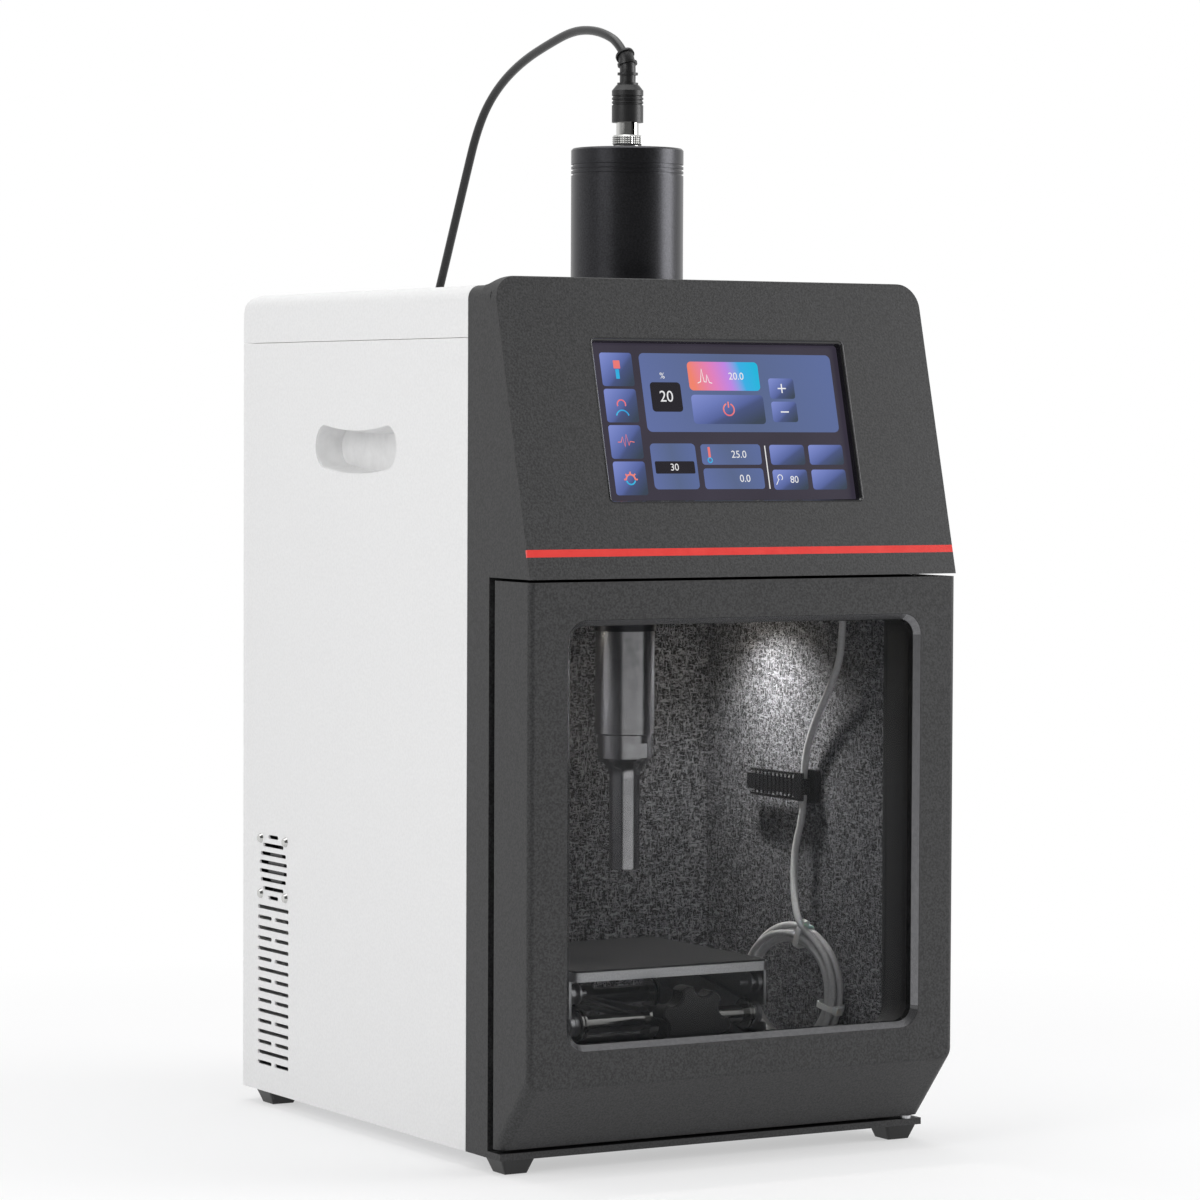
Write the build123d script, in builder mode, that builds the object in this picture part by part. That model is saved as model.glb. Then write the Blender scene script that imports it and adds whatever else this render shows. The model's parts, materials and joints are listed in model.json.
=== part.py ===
from build123d import *
import os
from math import asin, atan2, cos, degrees, hypot, pi, radians, sin, sqrt, tan

# Bench-top probe sonicator: an ultrasonic transducer stands in the roof of a
# sound-damped cabinet, and its probe reaches down into a lit chamber with a
# glazed door, where a small scissor jack carries the sample.
#
# Millimetres. +X is to the right for someone facing the door, +Y goes to the
# back and +Z is up. The origin is on the bench, under the middle of the cabinet
# with its rocker switch. A depth is measured back from the door's face.

os.makedirs("parts", exist_ok=True)

# Cabinet
WIDTH = 265.0
DEPTH = 340.0
FOOT_HEIGHT = 8.0
SEAM_Z = 438.5
COVER_TOP_Z = 466.0
COVER_SIDE_RADIUS = 7.0
COVER_BACK_RADIUS = 13.0
SHEET = 1.2
COVER_WALL = 1.6
PANEL_GAP = 0.3
SEAM_GAP = 0.15
FLANGE = 12.0
FOOT_TOP = 20.0
FOOT_BOTTOM = 13.0
FOOT_INSET = 12.0
FOOT_SETBACK = 1.0
FOOT_CORNER_RADIUS = 2.0

# Front frame, the black moulding round the door and under the screen
FRAME_BACK = 67.7
FRAME_FRONT = 43.7
FRAME_WALL = 3.0
BEZEL_BOTTOM_Z = 313.0
BEZEL_TOP_Z = 470.5
BEZEL_LEAN = 40.5
BEZEL_CORNER_RADIUS = 13.0
BEZEL_RIM = 2.0
RIM_FALL = 12.0
SILL_HEIGHT = 3.6
SILL_FRONT = 30.0

# Screen and red strip, measured up the slope from the bezel's lower edge
SCREEN_WIDTH = 157.5
SCREEN_HEIGHT = 89.0
SCREEN_UP = 85.2
SCREEN_DEPTH = 5.0
SCREEN_CORNER_RADIUS = 2.5
GLASS_OVERLAP = 2.0
GLASS = 2.0
MODULE = 7.0
STRIP_UP = 13.9
STRIP_HEIGHT = 4.0
STRIP_DEPTH = 1.2

# Sample chamber
CHAMBER_HALF_WIDTH = 117.0
CHAMBER_BACK = 232.0
CHAMBER_FLOOR_Z = 39.0
CHAMBER_TOP_Z = 288.0
LINER = 8.0
LAMP_RADIUS = 13.0
LAMP_SPREAD = 76.0
LAMP_BEHIND_AXIS = 31.0

# Door
DOOR_THICK = 37.5
DOOR_GAP = 1.5
DOOR_WALL = 3.0
CREASE_Z = 48.7
DOOR_BOTTOM_Z = 13.5
DOOR_TOE = 30.1
DOOR_EDGE_RADIUS = 3.0
TOE_CORNER_RADIUS = 6.0
WINDOW_WIDTH = 220.0
WINDOW_BOTTOM_Z = 67.0
WINDOW_TOP_Z = 291.8
WINDOW_RADIUS = 11.5
WINDOW_BEVEL = 3.0
PANE = 4.0
PANE_DEPTH = 7.5
PANE_MARGIN = 8.0
TUNNEL_MARGIN = 3.5
SEAL_WIDTH = 3.5
SEAL_CLEARANCE = 0.3
HINGE_SIDE_INSET = 8.5
HINGE_DEPTH = 33.5
HINGE_PIN_RADIUS = 1.75
HINGE_CLEARANCE = 0.05
MAGNET_RADIUS = 3.0

# Transducer, horn and probe, all on one upright axis
AXIS_DEPTH = 129.0
HOUSING_RADIUS = 31.0
HOUSING_WALL = 3.0
HOUSING_TOP_Z = 535.9
CAP_TOP_Z = 544.7
HOUSING_FLANGE_RADIUS = 40.0
HOUSING_FLANGE = 6.0
STACK_TOP_Z = 508.0
BACK_MASS_HEIGHT = 42.0
BACK_MASS_RADIUS = 22.5
CERAMIC_RADIUS = 25.0
CERAMIC = 6.5
CERAMIC_COUNT = 4
FRONT_MASS_HEIGHT = 60.0
HORN_RADIUS = 16.5
HORN_BOTTOM_Z = 221.5
COLLAR_BOTTOM_Z = 279.0
COLLAR_WALL = 0.8
TIP_HEAD_RADIUS = 15.0
TIP_HEAD_HEIGHT = 13.0
TIP_RADIUS = 8.4
TIP_FILLET = 11.0
TIP_END_Z = 147.0

# Cable connectors, one on the cap and one on the rear panel
SOCKET_FLANGE_RADIUS = 7.2
SOCKET_FLANGE = 1.7
SOCKET_TAIL = 10.0
NUT_RADIUS = 8.6
NUT_LENGTH = 5.8
SHELL_RADIUS = 6.2
SHELL_LENGTH = 7.0
BOOT_RADIUS = 8.7
BOOT_LENGTH = 20.5
NECK_RADIUS = 4.4
FIN_RADIUS = 5.8
RELIEF_STRAIGHT = 8.5
RELIEF_BEND_RADIUS = 12.0
RELIEF_BEND = 45.0
CABLE_RADIUS = 2.5
REAR_SOCKET_Z = 247.0

# Power inlet and rocker switch in the rear panel
INLET_X = -78.0
INLET_Z = 62.0
INLET_WIDTH = 28.0
INLET_HEIGHT = 47.0
INLET_LIP = 2.5
INLET_PROUD = 1.6
INLET_TAIL = 24.0
ROCKER_HALF = 9.6
ROCKER_RISE = 6.2
ROCKER_HEIGHT = 9.5
ROCKER_UP = 14.5
ROCKER_THROW = 8.0
ROCKER_SEAT = 5.0
ROCKER_WELL = 21.6
ROCKER_PIN_RADIUS = 1.0
ROCKER_PIN = 1.3

# Handle pockets and vents in the side panels
HANDLE_DEPTH_FROM_FRONT = 198.0
HANDLE_Z = 378.5
HANDLE_LENGTH = 98.0
HANDLE_HEIGHT = 24.0
HANDLE_SAG = 3.0
HANDLE_CORNER_RADIUS = 5.0
HANDLE_POCKET = 16.0
FAN_DEPTH_FROM_FRONT = 300.5
FAN_Z = 138.0
FAN_SIZE = 40.0
FAN_THICK = 10.0
FAN_SCREW_PITCH = 32.0
FAN_BORE_RADIUS = 19.0
SLOT_HEIGHT = 2.2
FAN_SLOT_PITCH = 5.0
VENT_PITCH = 6.0
VENT_ROWS = 16
VENT_WIDTH = 40.0
VENT_BRIDGE = 4.0
VENT_TOP_Z = 114.4
SCREW_HEAD_RADIUS = 2.8

# Scissor jack, standing on the chamber floor
JACK_SIZE = 125.0
JACK_X = -4.0
JACK_DEPTH = 131.0
JACK_SHEET = 1.5
JACK_HEIGHT = 59.5
JACK_SIDE = 25.0
JACK_LIP = 5.0
JACK_CORNER = 5.0
MAT = 1.0
MAT_MARGIN = 3.0
PIVOT_INSET = 11.5
PIVOT_HEIGHT = 12.5
ARM_WIDTH = 12.0
ARM_THICK = 2.5
ARM_GAP = 0.5
PIVOT_RADIUS = 3.0
SHAFT_RADIUS = 5.0
WASHER_RADIUS = 8.4
WASHER = 1.2
WASHER_PITCH = 2.0
PIN_WASHER_RADIUS = 5.8
PIN_END_RADIUS = 1.6
PIN_END = 5.0
TRUNNION_RADIUS = 8.0
TRUNNION_LENGTH = 24.0
SCREW_RADIUS = 4.0
KNOB_RADIUS = 22.5
KNOB_LOBES = 7
KNOB_THICK = 11.0
KNOB_FRONT = 44.5
RUNNING_CLEARANCE = 0.05
SLOT_TRAVEL = 7.0
SLOT_CLEARANCE = 0.15

# Sensor lead on the right-hand chamber wall
LEAD_RADIUS = 2.0
COIL_DEPTH = 115.0
COIL_X = 100.8
COIL_OUTER_RADIUS = 37.0
COIL_INNER_RADIUS = 26.0
COIL_WIDTH = 10.0
COIL_TURN = 15.0
PROBE_RADIUS = 2.8
PROBE_LENGTH = 46.0
TIE_WALL = 1.1
TIE_WIDTH = 3.2
TIE_HEAD_LENGTH = 5.0
TIE_HEAD_HEIGHT = 3.4
TIE_HEAD_WIDTH = 4.5
TIE_HEAD_RISE = 1.2

# Sizes worked out from the values above
HALF_WIDTH = WIDTH / 2
NUT_START = SOCKET_FLANGE
SHELL_START = NUT_START + NUT_LENGTH
BOOT_START = SHELL_START + SHELL_LENGTH
RELIEF_START = BOOT_START + BOOT_LENGTH
RELIEF_LENGTH = RELIEF_STRAIGHT + RELIEF_BEND_RADIUS * radians(RELIEF_BEND)
PLUG_LENGTH = RELIEF_START + RELIEF_LENGTH
ROCKER_PROUD = (
    INLET_PROUD
    - ROCKER_SEAT
    + ROCKER_RISE * cos(radians(ROCKER_THROW))
    + ROCKER_HALF * sin(radians(ROCKER_THROW))
)
FRONT = -(DEPTH + ROCKER_PROUD) / 2
BODY_BOTTOM_Z = FOOT_HEIGHT
DOOR_TOP_Z = BEZEL_BOTTOM_Z - DOOR_GAP
SLOPE = atan2(BEZEL_LEAN, BEZEL_TOP_Z - BEZEL_BOTTOM_Z)
SILL_TOP_Z = BODY_BOTTOM_Z + SILL_HEIGHT
AXIS_Y = FRONT + AXIS_DEPTH


def facing_front(depth):
    """Plane across the cabinet at a depth behind the door, looking forwards."""
    return Plane(origin=(0, FRONT + depth, 0), x_dir=(1, 0, 0), z_dir=(0, -1, 0))


def on_axis(height):
    """Level plane centred on the transducer's axis."""
    return Plane(origin=(0, AXIS_Y, height))


def save(piece, name):
    """Label a finished piece and write it as its own file."""
    piece.part.label = name
    export_step(piece.part, f"parts/{name}.step")


def block(x, depth, z):
    """Centre and size of a box from its three pairs of limits."""
    centre = ((x[0] + x[1]) / 2, FRONT + (depth[0] + depth[1]) / 2, (z[0] + z[1]) / 2)
    return centre, (x[1] - x[0], depth[1] - depth[0], z[1] - z[0])


def solid_box(x, depth, z, mode=Mode.ADD):
    """Box between limits in x, in depth behind the door and in height."""
    centre, size = block(x, depth, z)
    with Locations(centre):
        Box(*size, mode=mode)


# Front frame

BEZEL_FACE = Plane(
    origin=(0, FRONT, BEZEL_BOTTOM_Z), x_dir=(1, 0, 0), z_dir=(0, -cos(SLOPE), sin(SLOPE))
)
RIM_BACK = BEZEL_LEAN + BEZEL_RIM
STEP_BACK = RIM_BACK + RIM_FALL
STEP_MIDDLE = (RIM_BACK + STEP_BACK) / 2
STEP_MIDDLE_Z = (BEZEL_TOP_Z + COVER_TOP_Z) / 2

with BuildPart() as front_frame:
    # Sloped screen panel, with a rim that falls to the cover in an S
    with BuildSketch(Plane.YZ):
        with BuildLine():
            Polyline(
                (FRONT + STEP_BACK, BEZEL_BOTTOM_Z),
                (FRONT, BEZEL_BOTTOM_Z),
                (FRONT + BEZEL_LEAN, BEZEL_TOP_Z),
                (FRONT + RIM_BACK, BEZEL_TOP_Z),
            )
            TangentArc(
                (FRONT + RIM_BACK, BEZEL_TOP_Z),
                (FRONT + STEP_MIDDLE, STEP_MIDDLE_Z),
                tangent=(1, 0),
            )
            TangentArc(
                (FRONT + STEP_BACK, COVER_TOP_Z),
                (FRONT + STEP_MIDDLE, STEP_MIDDLE_Z),
                tangent=(-1, 0),
            )
            Line((FRONT + STEP_BACK, COVER_TOP_Z), (FRONT + STEP_BACK, BEZEL_BOTTOM_Z))
        make_face()
    extrude(amount=HALF_WIDTH, both=True)
    rim_edges = front_frame.edges().filter_by(Axis.X).group_by(Axis.Z)[-1]
    fillet(rim_edges.sort_by(Axis.Y)[0], radius=BEZEL_RIM * 0.8)
    with BuildSketch(facing_front(0)) as bezel_outline:
        with Locations((0, (BEZEL_TOP_Z + BEZEL_BOTTOM_Z) / 2)):
            Rectangle(WIDTH, BEZEL_TOP_Z - BEZEL_BOTTOM_Z)
        fillet(bezel_outline.vertices().group_by(Axis.Y)[-1], radius=BEZEL_CORNER_RADIUS)
    extrude(amount=-STEP_BACK, mode=Mode.INTERSECT)
    # Collar that meets the cabinet, with the cover's own corners
    with BuildSketch(facing_front(FRAME_FRONT)) as collar_outline:
        with Locations((0, (COVER_TOP_Z + SILL_TOP_Z) / 2)):
            Rectangle(WIDTH, COVER_TOP_Z - SILL_TOP_Z)
        fillet(collar_outline.vertices().group_by(Axis.Y)[-1], radius=COVER_SIDE_RADIUS)
    extrude(amount=-(FRAME_BACK - FRAME_FRONT))
    # Sill under the door
    solid_box((-HALF_WIDTH, HALF_WIDTH), (SILL_FRONT, FRAME_BACK), (BODY_BOTTOM_Z, SILL_TOP_Z))
    # Chamber mouth
    mouth = (CHAMBER_FLOOR_Z, CHAMBER_TOP_Z)
    solid_box(
        (-CHAMBER_HALF_WIDTH, CHAMBER_HALF_WIDTH), (FRAME_FRONT, FRAME_BACK), mouth, Mode.SUBTRACT
    )
    # Hollow behind the lip of the mouth
    inside = HALF_WIDTH - FRAME_WALL
    solid_box(
        (-inside, inside),
        (FRAME_FRONT + FRAME_WALL, FRAME_BACK),
        (SILL_TOP_Z + FRAME_WALL, BEZEL_BOTTOM_Z + 2 * FRAME_WALL),
        Mode.SUBTRACT,
    )
    # Hollow behind the screen panel
    hollow_top = COVER_TOP_Z - FRAME_WALL
    hollow_bottom = BEZEL_BOTTOM_Z + FRAME_WALL
    wall_step = FRAME_WALL / cos(SLOPE)
    with BuildSketch(Plane.YZ):
        Polygon(
            (FRONT + FRAME_WALL * tan(SLOPE) + wall_step, hollow_bottom),
            (FRONT + (hollow_top - BEZEL_BOTTOM_Z) * tan(SLOPE) + wall_step, hollow_top),
            (FRONT + FRAME_BACK, hollow_top),
            (FRONT + FRAME_BACK, hollow_bottom),
            align=None,
        )
    hollow = extrude(amount=inside, both=True, mode=Mode.PRIVATE)
    hollow_edges = hollow.edges().filter_by(Axis.Y).group_by(Axis.Z)[-1]
    add(hollow.fillet(COVER_SIDE_RADIUS - 1, hollow_edges), mode=Mode.SUBTRACT)
    # Screen opening with a collar that reaches back to the glass
    with BuildSketch(BEZEL_FACE.offset(-FRAME_WALL)):
        with Locations((0, SCREEN_UP)):
            Rectangle(SCREEN_WIDTH + 2 * FRAME_WALL, SCREEN_HEIGHT + 2 * FRAME_WALL)
    extrude(amount=-(SCREEN_DEPTH - FRAME_WALL))
    with BuildSketch(BEZEL_FACE):
        with Locations((0, SCREEN_UP)):
            RectangleRounded(SCREEN_WIDTH, SCREEN_HEIGHT, SCREEN_CORNER_RADIUS)
    extrude(amount=-SCREEN_DEPTH, mode=Mode.SUBTRACT)
    # Groove for the red strip
    with BuildSketch(BEZEL_FACE):
        with Locations((0, STRIP_UP)):
            Rectangle(WIDTH, STRIP_HEIGHT)
    extrude(amount=-STRIP_DEPTH, mode=Mode.SUBTRACT)
save(front_frame, "front_frame")

with BuildPart() as accent_strip:
    with BuildSketch(BEZEL_FACE.offset(-STRIP_DEPTH)):
        with Locations((0, STRIP_UP)):
            Rectangle(WIDTH, STRIP_HEIGHT)
    extrude(amount=STRIP_DEPTH)
save(accent_strip, "accent_strip")

# Screen: cover glass, display module and the board behind it

with BuildPart() as touch_screen:
    with BuildSketch(BEZEL_FACE.offset(-SCREEN_DEPTH)):
        with Locations((0, SCREEN_UP)):
            Rectangle(SCREEN_WIDTH + 2 * GLASS_OVERLAP, SCREEN_HEIGHT + 2 * GLASS_OVERLAP)
    extrude(amount=-GLASS)
save(touch_screen, "touch_screen")

MODULE_BACK = SCREEN_DEPTH + GLASS + MODULE
MODULE_WIDTH = SCREEN_WIDTH + 2 * GLASS_OVERLAP + 4
MODULE_HEIGHT = SCREEN_HEIGHT + 2 * GLASS_OVERLAP + 4
BOARD_STANDOFF = 6.0
BOARD = 1.6
BOARD_HOLE_INSET = 5.0
BOARD_CHIPS = (((-30, 8), (22, 22)), ((25, -6), (34, 12)), ((60, 15), (9, 26)))
CHIP = 4.0

with BuildPart() as display_module:
    with BuildSketch(BEZEL_FACE.offset(-SCREEN_DEPTH - GLASS)):
        with Locations((0, SCREEN_UP)):
            Rectangle(MODULE_WIDTH, MODULE_HEIGHT)
    extrude(amount=-MODULE)
    with BuildSketch(BEZEL_FACE.offset(-MODULE_BACK)):
        with Locations((0, SCREEN_UP)):
            with GridLocations(
                MODULE_WIDTH - 4 * BOARD_HOLE_INSET, MODULE_HEIGHT - 4 * BOARD_HOLE_INSET, 2, 2
            ):
                Circle(BOARD_HOLE_INSET / 2)
    extrude(amount=-BOARD_STANDOFF)
save(display_module, "display_module")

with BuildPart() as control_board:
    board_back = MODULE_BACK + BOARD_STANDOFF
    with BuildSketch(BEZEL_FACE.offset(-board_back)):
        with Locations((0, SCREEN_UP)):
            Rectangle(MODULE_WIDTH - 2 * BOARD_HOLE_INSET, MODULE_HEIGHT - 2 * BOARD_HOLE_INSET)
    extrude(amount=-BOARD)
    with BuildSketch(BEZEL_FACE.offset(-board_back - BOARD)):
        with Locations((0, SCREEN_UP)):
            for spot, size in BOARD_CHIPS:
                with Locations(spot):
                    Rectangle(*size)
    extrude(amount=-CHIP)
save(control_board, "control_board")

# Cabinet panels

PANEL_FRONT = FRAME_BACK + PANEL_GAP
PANEL_TOP_Z = SEAM_Z - SEAM_GAP
COVER_BOTTOM_Z = SEAM_Z + SEAM_GAP
HOUSING_CLEARANCE = 0.4


def cover_block(inset, mode):
    """Cover seen from the side, cut to its shape seen from the front."""
    top = COVER_TOP_Z - inset
    back = FRONT + DEPTH - inset
    with BuildPart(mode=Mode.PRIVATE) as whole:
        with BuildSketch(Plane.YZ) as side_view:
            with Locations(((FRONT + PANEL_FRONT + inset + back) / 2, (COVER_BOTTOM_Z + top) / 2)):
                Rectangle(back - FRONT - PANEL_FRONT - inset, top - COVER_BOTTOM_Z)
            back_top = side_view.vertices().group_by(Axis.Y)[-1].sort_by(Axis.X)[-1]
            fillet(back_top, radius=COVER_BACK_RADIUS - inset)
        extrude(side_view.sketch, amount=HALF_WIDTH - inset, both=True)
        with BuildSketch(facing_front(0)) as front_view:
            with Locations((0, (COVER_BOTTOM_Z + top) / 2)):
                Rectangle(WIDTH - 2 * inset, top - COVER_BOTTOM_Z)
            fillet(front_view.vertices().group_by(Axis.Y)[-1], radius=COVER_SIDE_RADIUS - inset)
        extrude(front_view.sketch, amount=-DEPTH, mode=Mode.INTERSECT)
    add(whole.part, mode=mode)


with BuildPart() as top_cover:
    cover_block(0, Mode.ADD)
    cover_block(COVER_WALL, Mode.SUBTRACT)
    with BuildSketch(on_axis(COVER_TOP_Z)):
        Circle(HOUSING_RADIUS + HOUSING_CLEARANCE)
    extrude(amount=-2 * COVER_WALL, mode=Mode.SUBTRACT)
save(top_cover, "top_cover")


def fan_slot_rows():
    """Height offset and length of each slot in the round fan grille."""
    count = 8
    for row in range(count):
        offset_z = (row - (count - 1) / 2) * FAN_SLOT_PITCH
        half_chord = sqrt(FAN_BORE_RADIUS**2 - offset_z**2)
        yield offset_z, 2 * half_chord - SLOT_HEIGHT


def side_sketch_plane(side):
    """Plane on the outside of a side panel, whose x runs to the back."""
    return Plane(origin=(side * HALF_WIDTH, FRONT, 0), x_dir=(0, side, 0), z_dir=(side, 0, 0))


def handle_outline(grow=0.0, rounding=0.0):
    """Handle opening: a long slot that sags in the middle, as a curved grip does."""
    half = HANDLE_LENGTH / 2 + grow
    high = HANDLE_HEIGHT / 2 + grow
    corner = high * 0.85
    with BuildSketch() as opening:
        with BuildLine():
            top = ThreePointArc(
                (-half + corner, high + HANDLE_SAG / 2),
                (0, high - HANDLE_SAG / 2),
                (half - corner, high + HANDLE_SAG / 2),
            )
            bottom = ThreePointArc(
                (-half + corner, -high + HANDLE_SAG / 2),
                (0, -high - HANDLE_SAG / 2),
                (half - corner, -high + HANDLE_SAG / 2),
            )
            ThreePointArc(top @ 1, (half, HANDLE_SAG / 2), bottom @ 1)
            ThreePointArc(top @ 0, (-half, HANDLE_SAG / 2), bottom @ 0)
        make_face()
        if rounding:
            fillet(opening.vertices(), radius=rounding)
    add(opening.sketch)


def side_panel(side):
    """White side panel with folded flanges, handle opening, fan grille and vents."""
    outer = side * HALF_WIDTH
    inner = side * (HALF_WIDTH - SHEET)
    flange = side * (HALF_WIDTH - FLANGE)
    with BuildPart() as panel:
        panel_depth = (PANEL_FRONT, DEPTH)
        panel_z = (BODY_BOTTOM_Z, PANEL_TOP_Z)
        solid_box(sorted((inner, outer)), panel_depth, panel_z)
        # Top flange that carries the cover, and bottom flange under the pan
        top_flange = (PANEL_TOP_Z - SHEET, PANEL_TOP_Z)
        bottom_flange = (BODY_BOTTOM_Z, BODY_BOTTOM_Z + SHEET)
        flange_depth = (PANEL_FRONT, DEPTH - FLANGE)
        solid_box(sorted((flange, outer)), flange_depth, top_flange)
        solid_box(sorted((flange, outer)), flange_depth, bottom_flange)
        with BuildSketch(side_sketch_plane(side)):
            with Locations((side * HANDLE_DEPTH_FROM_FRONT, HANDLE_Z)):
                handle_outline(rounding=HANDLE_CORNER_RADIUS)
            with Locations((side * FAN_DEPTH_FROM_FRONT, FAN_Z)):
                for offset_z, length in fan_slot_rows():
                    with Locations((0, offset_z)):
                        SlotOverall(length, SLOT_HEIGHT)
                with GridLocations(FAN_SCREW_PITCH, FAN_SCREW_PITCH, 2, 2):
                    Circle(SCREW_HEAD_RADIUS / 2)
            for row in range(VENT_ROWS):
                row_z = VENT_TOP_Z - row * VENT_PITCH
                if row % 2 == 0:
                    with Locations((side * FAN_DEPTH_FROM_FRONT, row_z)):
                        SlotOverall(VENT_WIDTH, SLOT_HEIGHT)
                else:
                    short = (VENT_WIDTH - VENT_BRIDGE) / 2
                    with Locations((side * FAN_DEPTH_FROM_FRONT, row_z)):
                        with GridLocations(short + VENT_BRIDGE, 1, 2, 1):
                            SlotOverall(short, SLOT_HEIGHT)
        extrude(amount=-2 * SHEET, mode=Mode.SUBTRACT)
    return panel


left_side_panel = side_panel(-1)
save(left_side_panel, "left_side_panel")
right_side_panel = side_panel(1)
save(right_side_panel, "right_side_panel")

CUP_DRAFT = 6.0

with BuildPart() as handle_cups:
    for side in (-1, 1):
        with BuildSketch(side_sketch_plane(side).offset(-SHEET)):
            with Locations((side * HANDLE_DEPTH_FROM_FRONT, HANDLE_Z)):
                handle_outline(grow=SHEET)
        extrude(amount=-HANDLE_POCKET, taper=CUP_DRAFT)
        with BuildSketch(side_sketch_plane(side).offset(-SHEET)):
            with Locations((side * HANDLE_DEPTH_FROM_FRONT, HANDLE_Z)):
                handle_outline(grow=-PANEL_GAP)
        extrude(amount=-(HANDLE_POCKET - COVER_WALL), taper=CUP_DRAFT, mode=Mode.SUBTRACT)
save(handle_cups, "handle_cups")

PAN_X = HALF_WIDTH - SHEET - PANEL_GAP
PAN_BACK = DEPTH - SHEET - PANEL_GAP
PAN_BOTTOM_Z = BODY_BOTTOM_Z + SHEET
PAN_VENT_DEPTH = 287.0
PAN_VENT_PITCH = 12.0
PAN_VENT_COUNT = 9
PAN_VENT_LENGTH = 48.0
PAN_VENT = 4.0

with BuildPart() as base_pan:
    # Floor and upturned edges, drawn as one tray
    with BuildSketch(Plane.XY.offset(PAN_BOTTOM_Z)):
        with Locations((0, FRONT + (FRAME_BACK + PAN_BACK) / 2)):
            Rectangle(2 * PAN_X, PAN_BACK - FRAME_BACK - PANEL_GAP)
    extrude(amount=FLANGE)
    offset(amount=-SHEET, openings=base_pan.faces().sort_by(Axis.Z)[-1])
    with BuildSketch(Plane.XY.offset(PAN_BOTTOM_Z)):
        with Locations((0, FRONT + PAN_VENT_DEPTH)):
            with GridLocations(PAN_VENT_PITCH, 1, PAN_VENT_COUNT, 1):
                SlotOverall(PAN_VENT_LENGTH, PAN_VENT, rotation=90)
    extrude(amount=SHEET, mode=Mode.SUBTRACT)
save(base_pan, "base_pan")

# Rear panel with the power inlet, the transducer socket and vents

REAR_VENT_ROWS = 12
REAR_VENT_Z = 150.0
REAR_VENT_WIDTH = 70.0
REAR_VENT = 3.0
REAR_HALF = HALF_WIDTH - SHEET - PANEL_GAP

with BuildPart() as rear_panel:
    solid_box(
        (-REAR_HALF, REAR_HALF),
        (DEPTH - SHEET, DEPTH),
        (BODY_BOTTOM_Z, PANEL_TOP_Z),
    )
    for side in (-1, 1):
        solid_box(
            sorted((side * (REAR_HALF - SHEET), side * REAR_HALF)),
            (DEPTH - FLANGE + PANEL_GAP, DEPTH),
            (PAN_BOTTOM_Z + FLANGE + PANEL_GAP, PANEL_TOP_Z - SHEET),
        )
    with BuildSketch(facing_front(DEPTH)):
        with Locations((INLET_X, INLET_Z)):
            Rectangle(INLET_WIDTH, INLET_HEIGHT)
        with Locations((0, REAR_SOCKET_Z)):
            Circle(SHELL_RADIUS)
        with Locations((0, REAR_VENT_Z)):
            with GridLocations(REAR_VENT_WIDTH + VENT_PITCH, VENT_PITCH, 2, REAR_VENT_ROWS):
                SlotOverall(REAR_VENT_WIDTH, REAR_VENT)
    extrude(amount=2 * SHEET, both=True, mode=Mode.SUBTRACT)
save(rear_panel, "rear_panel")

with BuildPart() as feet:
    foot_x = HALF_WIDTH - FOOT_INSET
    foot_front = FRONT + SILL_FRONT + FOOT_SETBACK + FOOT_TOP / 2
    foot_back = FRONT + DEPTH - FOOT_INSET - FOOT_TOP / 2
    foot_spots = [(x, y) for x in (-foot_x, foot_x) for y in (foot_front, foot_back)]
    with BuildSketch(Plane.XY.offset(FOOT_HEIGHT)):
        with Locations(foot_spots):
            RectangleRounded(FOOT_TOP, FOOT_TOP, FOOT_CORNER_RADIUS)
    extrude(amount=-FOOT_HEIGHT, taper=degrees(atan2((FOOT_TOP - FOOT_BOTTOM) / 2, FOOT_HEIGHT)))
save(feet, "feet")

# Chamber: steel box, felt lining and two lamps in the roof

BOX_HALF = CHAMBER_HALF_WIDTH + LINER
BOX_BACK = CHAMBER_BACK + LINER
BOX_TOP_Z = CHAMBER_TOP_Z + LINER
BOX_FRONT = FRAME_FRONT + FRAME_WALL
GROMMET_X = 106.0
GROMMET_DEPTH = 71.5
GROMMET_RADIUS = 6.0
COLLAR_RADIUS = HORN_RADIUS + COLLAR_WALL
LAMP_SPOTS = [(side * LAMP_SPREAD, LAMP_BEHIND_AXIS) for side in (-1, 1)]


def roof_holes(plane):
    """Holes through a roof layer for the horn's collar, the lamps and the lead."""
    with BuildSketch(plane) as holes:
        Circle(COLLAR_RADIUS)
        with Locations(LAMP_SPOTS):
            Circle(LAMP_RADIUS)
        with Locations((GROMMET_X, GROMMET_DEPTH - AXIS_DEPTH)):
            Circle(GROMMET_RADIUS)
    extrude(holes.sketch, amount=LINER + 2 * SHEET, mode=Mode.SUBTRACT)


with BuildPart() as chamber_box:
    steel_x = (-BOX_HALF - SHEET, BOX_HALF + SHEET)
    steel_z = (CHAMBER_FLOOR_Z - SHEET, BOX_TOP_Z + SHEET)
    solid_box(steel_x, (BOX_FRONT, BOX_BACK + SHEET), steel_z)
    room_z = (CHAMBER_FLOOR_Z, BOX_TOP_Z)
    solid_box((-BOX_HALF, BOX_HALF), (BOX_FRONT, BOX_BACK), room_z, Mode.SUBTRACT)
    roof_holes(on_axis(BOX_TOP_Z))
save(chamber_box, "chamber_box")

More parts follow.
